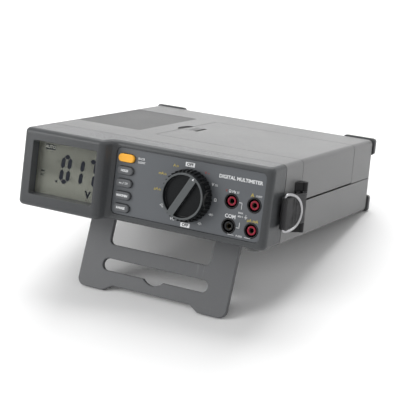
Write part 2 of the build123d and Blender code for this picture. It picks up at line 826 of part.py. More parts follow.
with BuildPart() as door_screws:
    with BuildSketch(Plane.XY.offset(0.1)):
        with Locations(*door_screws_at):
            Circle(screw_head_radius)
    extrude(amount=1.1)
    with BuildSketch(Plane.XY.offset(1.2)):
        with Locations(*door_screws_at):
            Circle(screw_radius)
    extrude(amount=6.0)
pieces["door_screws"] = door_screws

with BuildPart() as battery_box:
    with BuildSketch(Plane.XY.offset(seat_height)):
        with Locations((bay_x, bay_y)):
            Rectangle(bay_width + 2 * bay_wall, bay_length + 2 * bay_wall)
    extrude(amount=bay_top + bay_wall - seat_height)
    with BuildSketch(Plane.XY.offset(seat_height)):
        with Locations((bay_x, bay_y)):
            Rectangle(bay_width, bay_length)
    extrude(amount=bay_top - seat_height, mode=Mode.SUBTRACT)
pieces["battery_box"] = battery_box

cell_start = bay_front + contact_plate + contact_boss
cell_places = [
    (
        bay_left + cell_gap + cell_radius + i * cell_pitch,
        door_thickness + cell_gap + cell_radius + j * cell_pitch,
    )
    for i in range(cell_row)
    for j in range(cell_layers)
]
with BuildPart() as batteries:
    with BuildSketch(section_plane(cell_start)):
        with Locations(*cell_places):
            Circle(cell_radius)
    extrude(amount=-cell_length)
    with BuildSketch(section_plane(cell_start + cell_length)):
        with Locations(*cell_places):
            Circle(cell_nub_radius)
    extrude(amount=-cell_nub)
pieces["batteries"] = batteries

plate_z = (seat_height + bay_top) / 2
with BuildPart() as battery_contacts:
    with BuildSketch(section_plane(bay_front)):
        with Locations((bay_x, plate_z)):
            Rectangle(bay_width - 1.0, bay_top - seat_height - 1.0)
    extrude(amount=-contact_plate)
    with BuildSketch(section_plane(bay_front + contact_plate)):
        with Locations(*cell_places):
            Circle(3.5)
    extrude(amount=-contact_boss)
    with BuildSketch(section_plane(bay_rear - contact_plate)):
        with Locations((bay_x, plate_z)):
            Rectangle(bay_width - 1.0, bay_top - seat_height - 1.0)
    extrude(amount=-contact_plate)
    with BuildSketch(section_plane(bay_rear - contact_plate)):
        with Locations(*cell_places):
            Circle(4.5)
    extrude(amount=contact_spring)
pieces["battery_contacts"] = battery_contacts

case_screw_length = parting_z + 12.0 - screw_head - 6.0
with BuildPart() as case_screws:
    with BuildSketch(Plane.XY.offset(6.0)):
        with Locations(*case_posts):
            Circle(screw_head_radius)
    extrude(amount=screw_head)
    with BuildSketch(Plane.XY.offset(6.0 + screw_head)):
        with Locations(*case_posts):
            Circle(screw_radius)
    extrude(amount=case_screw_length)
pieces["case_screws"] = case_screws

# tongue ring that joins the bezel to the two shells
with BuildPart() as joint_ring:
    with BuildSketch(section_plane(seam_y - lip_length)):
        with Locations((0, mid_z)):
            RectangleRounded(inner_width - 2 * lip_clearance, inner_height - 2 * lip_clearance, inner_radius)
            RectangleRounded(
                inner_width - 2 * lip_clearance - 2 * lip_thickness,
                inner_height - 2 * lip_clearance - 2 * lip_thickness,
                inner_radius / 2,
                mode=Mode.SUBTRACT,
            )
    extrude(amount=-(2 * lip_length + joint_gap))
pieces["joint_ring"] = joint_ring

with BuildPart() as top_pad:
    with BuildSketch(Plane.XY.offset(case_height - pad_recess)):
        with Locations(((pad_left + pad_right) / 2, (pad_front + pad_rear) / 2)):
            RectangleRounded(
                pad_right - pad_left - 2 * piece_clearance,
                pad_rear - pad_front - 2 * piece_clearance,
                pad_corner - piece_clearance,
            )
    extrude(amount=pad_thickness)
pieces["top_pad"] = top_pad

# ---------------------------------------------------------------- lead store and its lid
flange_under = case_height - wall
store_wall = 2.0
store_flange = 1.6
store_left_wall = store_left + 8.0
store_right_wall = half_width - 8.0
store_y = (store_front + store_rear) / 2
store_length = store_rear - store_front - 10.0
lid_left = store_left + lid_gap
stem_left = lid_left + 4.2
keeper_left = stem_left - 1.1
keeper_length = 1.1 + latch_stem + latch_travel + 0.6
flange_bottom = flange_under - seat_clearance - store_flange
keeper_depth = 2.8         # of the notch under the flange that the hook moves in
with BuildPart() as lead_store:
    with BuildSketch(Plane.XY.offset(store_floor)):
        with Locations(((store_left_wall + store_right_wall) / 2, store_y)):
            RectangleRounded(store_right_wall - store_left_wall, store_length, 5.0)
    extrude(amount=flange_under - store_floor)
    flange_left = store_left - 4.0
    with BuildSketch(Plane.XY.offset(flange_bottom)):
        with Locations(((flange_left + store_right_wall) / 2, store_y)):
            Rectangle(store_right_wall - flange_left, store_rear - store_front + 8.0)
    extrude(amount=store_flange)
    with BuildSketch(Plane.XY.offset(store_floor + store_wall)):
        with Locations(((store_left_wall + store_right_wall) / 2, store_y)):
            RectangleRounded(
                store_right_wall - store_left_wall - 2 * store_wall,
                store_length - 2 * store_wall,
                5.0 - store_wall,
            )
    extrude(amount=case_height, mode=Mode.SUBTRACT)
    # keeper slot for the latch hook
    with BuildSketch(Plane.XY.offset(flange_bottom - keeper_depth)):
        with Locations((keeper_left + keeper_length / 2, latch_y)):
            Rectangle(keeper_length, latch_width - 2.0)
    extrude(amount=keeper_depth + store_flange + 1.0, mode=Mode.SUBTRACT)
pieces["lead_store"] = lead_store

lid_front = store_front + lid_gap
lid_rear = store_rear - lid_gap
lid_length = lid_rear - lid_front
with BuildPart() as store_lid:
    with BuildSketch(section_plane(lid_front)):
        with Locations((0, mid_z)):
            RectangleRounded(case_width, case_height, edge_radius)
            RectangleRounded(
                case_width - 2 * lid_thickness,
                case_height - 2 * lid_thickness,
                edge_radius - lid_thickness,
                mode=Mode.SUBTRACT,
            )
    extrude(amount=-lid_length)
    split(bisect_by=Plane.YZ.offset(lid_left), keep=Keep.TOP)
    split(bisect_by=Plane.XY.offset(hinge_z), keep=Keep.TOP)
    # rounded hinge bead along the lower edge
    with BuildSketch(section_plane(lid_front)):
        with Locations((hinge_x, hinge_z)):
            Circle(hinge_radius)
    extrude(amount=-lid_length)
    with BuildSketch(section_plane(lid_front)):
        with Locations((hinge_x, hinge_z)):
            Circle(hinge_pin_radius + hinge_pin_clearance)
    extrude(amount=-(pin_overlap + 1.0), mode=Mode.SUBTRACT)
    with BuildSketch(section_plane(lid_rear)):
        with Locations((hinge_x, hinge_z)):
            Circle(hinge_pin_radius + hinge_pin_clearance)
    extrude(amount=pin_overlap + 1.0, mode=Mode.SUBTRACT)
    # notch for the latch
    with BuildSketch(Plane.XY.offset(case_height)):
        with Locations((lid_left + latch_length / 2, latch_y)):
            Rectangle(latch_length, latch_width)
    extrude(amount=-lid_thickness, mode=Mode.SUBTRACT)
    # stiffening ribs under the lid, which also guide the latch
    rib_z = case_height - lid_thickness
    with BuildSketch(Plane.XY.offset(rib_z + 0.3)):
        with Locations((lid_left + 52.0, store_y)):
            with GridLocations(36.0, 0, 3, 1):
                Rectangle(2.0, store_length - 2 * store_wall - 4.0)
    extrude(amount=-2.8)
    with BuildSketch(Plane.XY.offset(rib_z + 0.3)):
        for guide_side in (-1, 1):
            with Locations((lid_left + latch_length - 0.2, latch_y + guide_side * (latch_width / 2 - 3.0))):
                Rectangle(9.0, 2.4)
    extrude(amount=-2.3)
    with BuildSketch(Plane.XY.offset(case_height)):
        with Locations((lid_left + latch_length / 2 - 2.5, latch_y)):
            Rectangle(latch_length + 5.0, latch_width)
    extrude(amount=-lid_thickness - 3.0, mode=Mode.SUBTRACT)
pieces["store_lid"] = store_lid

with BuildPart() as lid_hinge_pins:
    with BuildSketch(section_plane(store_front - pin_overlap)):
        with Locations((hinge_x, hinge_z)):
            Circle(hinge_pin_radius)
    extrude(amount=-hinge_pin_length)
    with BuildSketch(section_plane(store_rear + pin_overlap)):
        with Locations((hinge_x, hinge_z)):
            Circle(hinge_pin_radius)
    extrude(amount=hinge_pin_length)
pieces["lid_hinge_pins"] = lid_hinge_pins

with BuildPart() as lid_latch:
    with BuildSketch(Plane.XY.offset(case_height)):
        with Locations((lid_left + (latch_length - latch_gap - latch_travel) / 2, latch_y)):
            Rectangle(latch_length - latch_gap - latch_travel, latch_width - 2 * latch_gap)
    extrude(amount=-lid_thickness)
    with BuildSketch(Plane.XY.offset(case_height - lid_thickness)):
        with Locations((stem_left + latch_stem / 2, latch_y)):
            Rectangle(latch_stem, latch_width - 6.0)
    extrude(amount=-(case_height - lid_thickness - flange_bottom + 2.2))
    with BuildSketch(Plane.XY.offset(flange_bottom - 0.2)):
        with Locations((keeper_left - latch_hook / 2 + 1.1 / 2, latch_y)):
            Rectangle(latch_hook + 1.1, latch_width - 6.0)
    extrude(amount=-2.0)
pieces["lid_latch"] = lid_latch

# ---------------------------------------------------------------- stand
stand_plane = Plane(
    origin=(0, stand_y, stand_z),
    x_dir=(1, 0, 0),
    z_dir=(0, cos(lean_out), -sin(lean_out)),
)
inner_half = stand_half_width - stand_leg


def stand_edge_at(edge, x, s):
    """Whether an edge of the stand's plate stands at a distance x from the middle and s down."""
    middle = stand_plane.to_local_coords(edge.center())
    return abs(abs(middle.X) - x) < 0.01 and abs(middle.Y - s) < 0.01


slot_radius = (slot_bottom - slot_top) / 2
slot_mid = (slot_bottom + slot_top) / 2
with BuildPart() as tilt_stand:
    with BuildSketch(stand_plane) as stand_face:
        with BuildLine():
            Polyline(
                (-stand_half_width, 0),
                (-inner_half, 0),
                (-inner_half, stand_bar_top),
                (inner_half, stand_bar_top),
                (inner_half, 0),
                (stand_half_width, 0),
                (stand_half_width, stand_length),
                (foot_half_gap + foot_chamfer, stand_length),
                (foot_half_gap, middle_edge),
                (-foot_half_gap, middle_edge),
                (-foot_half_gap - foot_chamfer, stand_length),
                (-stand_half_width, stand_length),
                close=True,
            )
        make_face()
        with Locations((0, slot_mid)):
            SlotOverall(2 * slot_half_length, 2 * slot_radius, mode=Mode.SUBTRACT)
        with BuildLine():
            ThreePointArc(
                (-dip_half_width, slot_bottom - 0.2),
                (0, slot_bottom + dip_depth),
                (dip_half_width, slot_bottom - 0.2),
            )
            Line((dip_half_width, slot_bottom - 0.2), (-dip_half_width, slot_bottom - 0.2))
        make_face(mode=Mode.SUBTRACT)
    extrude(amount=stand_thickness / 2, both=True)
    uprights = tilt_stand.edges().filter_by(Axis((0, 0, 0), stand_plane.z_dir))
    outer_corners = [edge for edge in uprights if stand_edge_at(edge, stand_half_width, stand_length)]
    fillet(outer_corners, stand_corner)
    uprights = tilt_stand.edges().filter_by(Axis((0, 0, 0), stand_plane.z_dir))
    window_corners = [edge for edge in uprights if stand_edge_at(edge, inner_half, stand_bar_top)]
    fillet(window_corners, stand_window_corner)
    plate_faces = tilt_stand.faces().filter_by(Axis((0, 0, 0), stand_plane.z_dir))
    rims = [edge for edge in plate_faces.edges() if stand_plane.to_local_coords(edge.center()).Y > 0.5]
    fillet(rims, stand_edge)
    # barrels at the top of the legs
    for leg_x in (-stand_half_width, inner_half):
        with BuildSketch(side_plane(leg_x)):
            with Locations((stand_y, stand_z)):
                Circle(stand_barrel_radius)
        extrude(amount=stand_leg)
    with BuildSketch(side_plane(-stand_half_width)):
        with Locations((stand_y, stand_z)):
            Circle(stand_pin_radius + stand_pin_clearance)
    extrude(amount=2 * stand_half_width, mode=Mode.SUBTRACT)
pieces["tilt_stand"] = tilt_stand

with BuildPart() as stand_pins:
    for side in (-1, 1):
        with BuildSketch(side_plane(side * (stand_bay_half + wall + 3.0))):
            with Locations((stand_y, stand_z)):
                Circle(stand_pin_radius)
        extrude(amount=-side * (stand_pin_length + stand_side_clearance + wall))
pieces["stand_pins"] = stand_pins

# ---------------------------------------------------------------- feet and bumpers
with BuildPart() as front_feet:
    with BuildSketch(Plane.XY.offset(1.0)):
        with Locations((-foot_x, foot_y), (foot_x, foot_y)):
            Circle(foot_radius)
    extrude(amount=-(1.0 + foot_drop), taper=6.0)
pieces["front_feet"] = front_feet

bumper_x = half_width + bumper_overhang - bumper_width / 2
bumper_low_z = -bumper_drop + bumper_height / 2
bumper_high_z = case_height + bumper_rise - bumper_height / 2
bumper_places = {
    "lower_bumpers": bumper_low_z,
    "upper_bumpers": bumper_high_z,
}
for bumper_name, bumper_z in bumper_places.items():
    with BuildPart() as bumpers:
        with BuildSketch(section_plane(case_rear)):
            with Locations((-bumper_x, bumper_z), (bumper_x, bumper_z)):
                RectangleRounded(bumper_width, bumper_height, bumper_radius)
        extrude(amount=-bumper_depth)
        back_faces = bumpers.faces().filter_by(Plane.XZ).sort_by(Axis.Y)[-2:]
        fillet(back_faces.edges(), bumper_edge)
    pieces[bumper_name] = bumpers

# ---------------------------------------------------------------- carry rings
strap_x = half_width + strap_stand_off
strap_half = strap_inside_radius + strap_thickness
ring_y = strap_y - strap_reach
anchor_top = strap_z + strap_width / 2 + 0.6
anchor_bottom = strap_z - strap_width / 2 - 0.6
for side, side_name in ((1, "right"), (-1, "left")):
    mid_x = side * strap_x
    with BuildPart() as anchor:
        with BuildSketch(side_plane(side * half_width)):
            with Locations((strap_y - 2.0, strap_z)):
                RectangleRounded(
                    2 * anchor_half_length - 6.0,
                    anchor_top - anchor_bottom + 2 * anchor_lug,
                    2.0,
                )
        extrude(amount=side * anchor_base)
        for lug_z in (anchor_bottom - anchor_lug, anchor_top):
            with BuildSketch(Plane.XY.offset(lug_z)):
                with BuildLine():
                    Line((side * half_width, strap_y - anchor_half_length), (mid_x, strap_y - strap_half))
                    ThreePointArc(
                        (mid_x, strap_y - strap_half),
                        (mid_x + side * strap_half, strap_y),
                        (mid_x, strap_y + strap_half),
                    )
                    Line((mid_x, strap_y + strap_half), (side * half_width, strap_y + strap_half))
                    Line(
                        (side * half_width, strap_y + strap_half),
                        (side * half_width, strap_y - anchor_half_length),
                    )
                make_face()
            extrude(amount=anchor_lug)
        with BuildSketch(Plane.XY.offset(anchor_bottom - 4.0)):
            with Locations((mid_x, strap_y)):
                Circle(strap_pin_radius)
        extrude(amount=anchor_top - anchor_bottom + 8.0, mode=Mode.SUBTRACT)
    pieces[side_name + "_strap_anchor"] = anchor

    with BuildPart() as strap_pin:
        with BuildSketch(Plane.XY.offset(anchor_bottom - 4.0)):
            with Locations((mid_x, strap_y)):
                Circle(strap_pin_radius)
        extrude(amount=anchor_top - anchor_bottom + 8.0)
    pieces[side_name + "_strap_pin"] = strap_pin

    with BuildPart() as tab:
        with BuildSketch(Plane.XY.offset(strap_z - strap_width / 2)):
            with Locations((mid_x, strap_y - strap_reach / 2)):
                SlotCenterToCenter(strap_reach, 2 * strap_half, rotation=90)
                SlotCenterToCenter(strap_reach, 2 * strap_inside_radius, rotation=90, mode=Mode.SUBTRACT)
        extrude(amount=strap_width)
    pieces[side_name + "_strap_tab"] = tab

    ring_plane = Plane(
        origin=(mid_x, ring_y, strap_z),
        x_dir=(side * sin(radians(ring_lean)), cos(radians(ring_lean)), 0),
        z_dir=(side * cos(radians(ring_lean)), -sin(radians(ring_lean)), 0),
    )
    with BuildPart() as ring:
        with BuildLine(ring_plane) as ring_path:
            bar = Line((0, -ring_half_height + ring_bend), (0, ring_half_height - ring_bend))
            RadiusArc(bar @ 1, (ring_bend, ring_half_height), ring_bend)
            Line((ring_bend, ring_half_height), (ring_leg, ring_half_height))
            ThreePointArc(
                (ring_leg, ring_half_height),
                (ring_leg + ring_half_height, 0),
                (ring_leg, -ring_half_height),
            )
            Line((ring_leg, -ring_half_height), (ring_bend, -ring_half_height))
            RadiusArc((ring_bend, -ring_half_height), bar @ 0, ring_bend)
        with BuildSketch(Plane(origin=bar @ 0, z_dir=bar % 0)):
            Circle(ring_wire_radius)
        sweep(path=ring_path.wires()[0])
    pieces[side_name + "_ring"] = ring

# ---------------------------------------------------------------- standing pose and export
# The stand's tip and the lower bumpers' rounded edges touch the surface together.
tip_down = stand_length - stand_edge
tip_back = stand_thickness / 2 - stand_edge
tip = Vector(
    0,
    stand_y - tip_down * sin(lean_out) + tip_back * cos(lean_out),
    stand_z - tip_down * cos(lean_out) - tip_back * sin(lean_out),
)
heel = Vector(0, case_rear + bumper_depth - bumper_edge, -bumper_drop + bumper_edge)
span = heel - tip
stand_tilt = degrees(acos((bumper_edge - stand_edge) / hypot(span.Y, span.Z)) - atan2(span.Y, span.Z))
tipped = Rotation(X=-stand_tilt)
box = Compound([piece.part.moved(tipped) for piece in pieces.values()]).bounding_box()
standing = Location((-box.center().X, -box.center().Y, -box.min.Z)) * tipped

for name, piece in pieces.items():
    piece.part.label = name
    export_step(piece.part.moved(standing), f"parts/{name}.step")
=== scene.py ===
"""Looks, lights and camera for a bench multimeter that stands on its tilt stand."""

import json
import logging
import math
from dataclasses import dataclass, field
from enum import Enum
from typing import Any, Callable, Iterable, Sequence

import bmesh
import bpy
import numpy as np
from mathutils import Matrix, Quaternion, Vector


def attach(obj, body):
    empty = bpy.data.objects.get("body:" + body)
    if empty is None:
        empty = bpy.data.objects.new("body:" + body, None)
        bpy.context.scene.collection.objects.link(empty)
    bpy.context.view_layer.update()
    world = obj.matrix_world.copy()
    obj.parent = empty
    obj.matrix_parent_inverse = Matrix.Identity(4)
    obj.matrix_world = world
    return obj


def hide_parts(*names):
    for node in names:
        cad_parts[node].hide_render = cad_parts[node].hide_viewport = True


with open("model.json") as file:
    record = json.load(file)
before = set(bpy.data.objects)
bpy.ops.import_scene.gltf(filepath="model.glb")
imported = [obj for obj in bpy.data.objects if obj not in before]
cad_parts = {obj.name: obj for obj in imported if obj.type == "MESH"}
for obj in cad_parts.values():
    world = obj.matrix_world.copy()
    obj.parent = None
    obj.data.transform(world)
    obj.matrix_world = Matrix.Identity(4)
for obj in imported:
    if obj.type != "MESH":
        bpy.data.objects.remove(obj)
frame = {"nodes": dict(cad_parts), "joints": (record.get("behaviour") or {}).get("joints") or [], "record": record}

LOG = logging.getLogger("multimeter")
MM = 0.001
Colour = tuple[float, float, float]
Point2 = tuple[float, float]


class Body(Enum):
    """The bodies that dressed pieces ride on."""

    CASE = "case"
    DIAL = "dial"
    LATCH = "latch"
    RIGHT_TAB = "right_tab"
    LEFT_TAB = "left_tab"
    RANGE_KEY = "range_key"
    MAX_MIN_KEY = "max_min_key"
    FUNCTION_KEY = "function_key"
    HOLD_KEY = "hold_key"


def joint(name: str) -> dict[str, Any]:
    """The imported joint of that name."""
    return next(item for item in frame["joints"] if item["name"] == name)


# ------------------------------------------------------------------ working planes
@dataclass(frozen=True)
class Face:
    """A flat working plane on the meter, measured in millimetres.

    Attributes:
        origin: Its zero point in the shared frame, in metres.
        right: Unit vector of the plane's first direction.
        up: Unit vector of its second direction.
    """

    origin: Vector
    right: Vector
    up: Vector

    @property
    def out(self) -> Vector:
        """The unit vector that points out of the plane."""
        return self.right.cross(self.up)

    def at(self, x: float, s: float, rise: float = 0.0) -> Vector:
        """The point x across, s up and rise out of the plane."""
        return self.origin + (self.right * x + self.up * s + self.out * rise) * MM

    def matrix(self, x: float, s: float, rise: float) -> Matrix:
        """The placement of something drawn in metres about its own zero point.

        Args:
            x: Millimetres across the plane.
            s: Millimetres up the plane.
            rise: Millimetres out of the plane.

        Returns:
            A 4x4 placement.
        """
        axes = Matrix((self.right, self.up, self.out)).transposed().to_4x4()
        return Matrix.Translation(self.at(x, s, rise)) @ axes

    def local(self, point: Sequence[float]) -> Vector:
        """A shared-frame point as millimetres across, up and out of the plane."""
        away = Vector(point) - self.origin
        return Vector((away.dot(self.right), away.dot(self.up), away.dot(self.out))) / MM

    def extent(self, node: str) -> tuple[Vector, Vector]:
        """The lowest and highest plane coordinates of a CAD node, in millimetres."""
        mesh = frame["nodes"][node].data
        flat = np.empty(len(mesh.vertices) * 3, np.float32)
        mesh.vertices.foreach_get("co", flat)
        away = flat.reshape(-1, 3) - np.array(self.origin)
        local = away @ np.array([self.right, self.up, self.out]).T / MM
        return Vector(local.min(0)), Vector(local.max(0))


@dataclass(frozen=True)
class CaseLayout:
    """The level axes of the tipped case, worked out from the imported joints.

    Attributes:
        stand_hinge_back: Millimetres from the foot of the front to the stand's hinge.
        stand_hinge_up: Millimetres from the underside to the stand's hinge.
    """

    stand_hinge_back: float = 54.0
    stand_hinge_up: float = 2.75

    @property
    def across(self) -> Vector:
        """Unit vector across the case, to its right."""
        return Vector(joint("stand_hinge")["axis"])

    @property
    def back(self) -> Vector:
        """Unit vector from the front of the case to its rear."""
        return Vector(joint("lid_hinge")["axis"])

    @property
    def up(self) -> Vector:
        """Unit vector from the underside of the case to its top."""
        return Vector(joint("right_tab_swing")["axis"])

    @property
    def foot(self) -> Vector:
        """Middle of the line where the front meets the underside."""
        hinge = Vector(joint("stand_hinge")["pos_m"])
        return hinge - (self.back * self.stand_hinge_back + self.up * self.stand_hinge_up) * MM

    def point(self, x: float, y: float, z: float) -> Vector:
        """A shared-frame point from level case millimetres."""
        return self.foot + (self.across * x + self.back * y + self.up * z) * MM

    @property
    def front(self) -> Face:
        """The leaning front, across the case and up along it."""
        out = -Vector(joint("dial_turn")["axis"])
        return Face(self.foot, self.across, out.cross(self.across).normalized())

    @property
    def top(self) -> Face:
        """A plane at the height of the underside that looks up: across and to the rear."""
        return Face(self.foot, self.across, self.back)

    @property
    def under(self) -> Face:
        """The underside, seen from below: across to the left and to the rear."""
        return Face(self.foot, -self.across, self.back)

    @property
    def rear(self) -> Face:
        """An upright plane at the front's foot that looks to the rear."""
        return Face(self.foot, -self.across, self.up)


LAYOUT = CaseLayout()


# ------------------------------------------------------------------ shader helpers
class NodeSheet:
    """Adds nodes to a tree from left to right and joins them."""

    def __init__(self, tree: bpy.types.NodeTree) -> None:
        """Starts an empty sheet on a tree."""
        self.tree = tree
        self.tree.nodes.clear()

    def add(self, kind: str, sockets: dict[Any, Any] | None = None, **settings: Any) -> bpy.types.Node:
        """Adds one node.

        Args:
            kind: The node's type name.
            sockets: Input values by name or index; an output socket is linked.
            settings: The node's own properties.

        Returns:
            The new node.
        """
        node = self.tree.nodes.new(kind)
        node.location = (190.0 * len(self.tree.nodes), 0.0)
        for name, value in settings.items():
            setattr(node, name, value)
        for key, value in (sockets or {}).items():
            self.feed(node.inputs[key], value)
        return node

    def feed(self, socket: bpy.types.NodeSocket, value: Any) -> None:
        """Links an output to a socket, or sets the socket's value."""
        if isinstance(value, bpy.types.NodeSocket):
            self.tree.links.new(value, socket)
        else:
            socket.default_value = value

    def math(self, operation: str, first: Any, second: Any = 0.0, clamp: bool = False) -> Any:
        """The output of a Math node."""
        node = self.add("ShaderNodeMath", {0: first, 1: second}, operation=operation, use_clamp=clamp)
        return node.outputs[0]

    def blend(self, factor: Any, first: Any, second: Any) -> Any:
        """The colour between two colours."""
        node = self.add("ShaderNodeMix", data_type="RGBA")
        self.feed(node.inputs["Factor"], factor)
        self.feed(node.inputs["A"], first)
        self.feed(node.inputs["B"], second)
        return node.outputs["Result"]

    def band(self, value: Any, low: float, high: float, start: float = 0.0, end: float = 1.0) -> Any:
        """A value mapped from low..high to start..end, smoothly and within them."""
        node = self.add(
            "ShaderNodeMapRange",
            {"Value": value, "From Min": low, "From Max": high, "To Min": start, "To Max": end},
            interpolation_type="SMOOTHSTEP",
        )
        return node.outputs["Result"]

    def noise(self, vector: Any, scale: Any, detail: float = 2.0) -> Any:
        """The factor of a Noise Texture."""
        node = self.add(
            "ShaderNodeTexNoise", {"Vector": vector, "Scale": scale, "Detail": detail, "Roughness": 0.55}
        )
        return node.outputs["Fac"]


def rgba(colour: Colour) -> tuple[float, float, float, float]:
    """A colour with full alpha."""
    return (*colour, 1.0)


def tone(colour: Colour, factor: float) -> Colour:
    """A colour made lighter or darker by a factor."""
    return tuple(min(1.0, part * factor) for part in colour)


def finished(name: str, surface: Callable[[NodeSheet], bpy.types.Node]) -> bpy.types.Material:
    """The material of that name, built the first time that it is asked for.

    Args:
        name: The material's name.
        surface: Adds the nodes to a sheet and returns the last shader.

    Returns:
        The material.
    """
    made = bpy.data.materials.get(name)
    if made is None:
        made = bpy.data.materials.new(name)
        made.use_nodes = True
        sheet = NodeSheet(made.node_tree)
        sheet.add("ShaderNodeOutputMaterial", {"Surface": surface(sheet).outputs[0]})
    return made


def new_group(
    name: str, inputs: dict[str, float], outputs: dict[str, str]
) -> tuple[Any, NodeSheet, Any, Any]:
    """Starts a shader node group.

    Args:
        name: The group's name.
        inputs: Float inputs with their defaults.
        outputs: Output names with their socket types.

    Returns:
        The tree, its sheet, its input node and its output node.
    """
    tree = bpy.data.node_groups.new(name, "ShaderNodeTree")
    for label, default in inputs.items():
        socket = tree.interface.new_socket(label, in_out="INPUT", socket_type="NodeSocketFloat")
        socket.default_value = default
    for label, kind in outputs.items():
        tree.interface.new_socket(label, in_out="OUTPUT", socket_type=kind)
    sheet = NodeSheet(tree)
    return tree, sheet, sheet.add("NodeGroupInput"), sheet.add("NodeGroupOutput")


class SurfaceEffects:
    """The shared shader groups: moulded grain, edge wear, settled dust, scuffs and brushing."""

    def __init__(self) -> None:
        """Builds each group once."""
        self.grain = self._moulded_grain()
        self.wear = self._edge_wear()
        self.dust = self._settled_dust()
        self.scuffs = self._handling_scuffs()
        self.brushing = self._brushed_lines()

    def _moulded_grain(self) -> bpy.types.NodeTree:
        """Spark-eroded mould texture, with a slow change of tone over the moulding."""
        tree, sheet, given, result = new_group(
            "moulded_grain", {"Size": 0.0004}, {"Height": "NodeSocketFloat", "Tone": "NodeSocketFloat"}
        )
        place = sheet.add("ShaderNodeTexCoord").outputs["Object"]
        pitch = sheet.math("DIVIDE", 1.0, given.outputs["Size"])
        cells = sheet.add("ShaderNodeTexVoronoi", {"Vector": place, "Scale": pitch})
        grain = sheet.noise(place, sheet.math("MULTIPLY", pitch, 0.7), 3.0)
        height = sheet.math("ADD", sheet.math("MULTIPLY", cells.outputs["Distance"], 0.6), grain)
        slow = sheet.noise(place, 14.0, 3.0)
        speck = sheet.band(grain, 0.3, 0.7)
        mixed = sheet.math("ADD", sheet.math("MULTIPLY", slow, 0.6), sheet.math("MULTIPLY", speck, 0.4))
        sheet.feed(result.inputs["Height"], height)
        sheet.feed(result.inputs["Tone"], mixed)
        return tree

    def _edge_wear(self) -> bpy.types.NodeTree:
        """Where edges are rubbed, and a normal that rounds them."""
        tree, sheet, given, result = new_group(
            "edge_wear",
            {"Radius": 0.0008, "Amount": 0.3},
            {"Mask": "NodeSocketFloat", "Normal": "NodeSocketVector"},
        )
        bevel = sheet.add("ShaderNodeBevel", {"Radius": given.outputs["Radius"]}, samples=6)
        flat = sheet.add("ShaderNodeNewGeometry").outputs["True Normal"]
        agree = sheet.add(
            "ShaderNodeVectorMath", {0: bevel.outputs["Normal"], 1: flat}, operation="DOT_PRODUCT"
        ).outputs["Value"]
        edge = sheet.band(sheet.math("SUBTRACT", 1.0, agree), 0.02, 0.25)
        place = sheet.add("ShaderNodeTexCoord").outputs["Object"]
        broken = sheet.band(sheet.noise(place, 160.0, 4.0), 0.38, 0.62)
        worn = sheet.math("MULTIPLY", sheet.math("MULTIPLY", edge, broken), given.outputs["Amount"])
        sheet.feed(result.inputs["Mask"], worn)
        sheet.feed(result.inputs["Normal"], bevel.outputs["Normal"])
        return tree

    def _settled_dust(self) -> bpy.types.NodeTree:
        """Fine dust that lies on what faces up."""
        tree, sheet, given, result = new_group(
            "settled_dust", {"Amount": 0.2}, {"Mask": "NodeSocketFloat"}
        )
        normal = sheet.add("ShaderNodeNewGeometry").outputs["Normal"]
        lift = sheet.add("ShaderNodeSeparateXYZ", {0: normal}).outputs["Z"]
        place = sheet.add("ShaderNodeTexCoord").outputs["Object"]
        clouds = sheet.band(sheet.noise(place, 32.0, 5.0), 0.35, 0.75)
        motes = sheet.band(sheet.noise(place, 900.0, 1.0), 0.55, 0.75)
        patchy = sheet.math("ADD", sheet.math("MULTIPLY", clouds, 0.6), sheet.math("MULTIPLY", motes, 0.4))
        lying = sheet.math("MULTIPLY", sheet.band(lift, 0.1, 0.95), patchy)
        sheet.feed(result.inputs["Mask"], sheet.math("MULTIPLY", lying, given.outputs["Amount"]))
        return tree

    def _handling_scuffs(self) -> bpy.types.NodeTree:
        """Short fine scratches that run two ways."""
        tree, sheet, given, result = new_group(
            "handling_scuffs", {"Amount": 0.2}, {"Mask": "NodeSocketFloat"}
        )
        place = sheet.add("ShaderNodeTexCoord").outputs["Object"]
        total: Any = 0.0
        for turn, stretch in ((0.5, (18.0, 900.0, 18.0)), (2.1, (900.0, 22.0, 22.0))):
            mapped = sheet.add(
                "ShaderNodeMapping", {"Vector": place, "Rotation": (turn, 0.3, turn), "Scale": stretch}
            )
            lines = sheet.band(sheet.noise(mapped.outputs["Vector"], 1.0, 1.0), 0.7, 0.78)
            total = sheet.math("ADD", total, lines)
        sparse = sheet.band(sheet.noise(place, 20.0, 2.0), 0.5, 0.7)
        scratched = sheet.math("MULTIPLY", sheet.math("MULTIPLY", total, sparse), given.outputs["Amount"])
        sheet.feed(result.inputs["Mask"], scratched)
        return tree

    def _brushed_lines(self) -> bpy.types.NodeTree:
        """Drawn or turned lines on metal."""
        tree, sheet, given, result = new_group(
            "brushed_lines", {"Pitch": 0.0003}, {"Height": "NodeSocketFloat"}
        )
        place = sheet.add("ShaderNodeTexCoord").outputs["Object"]
        squeezed = sheet.add("ShaderNodeMapping", {"Vector": place, "Scale": (1.0, 1.0, 0.08)})
        pitch = sheet.math("DIVIDE", 1.0, given.outputs["Pitch"])
        sheet.feed(result.inputs["Height"], sheet.noise(squeezed.outputs["Vector"], pitch, 2.0))
        return tree


EFFECTS = SurfaceEffects()


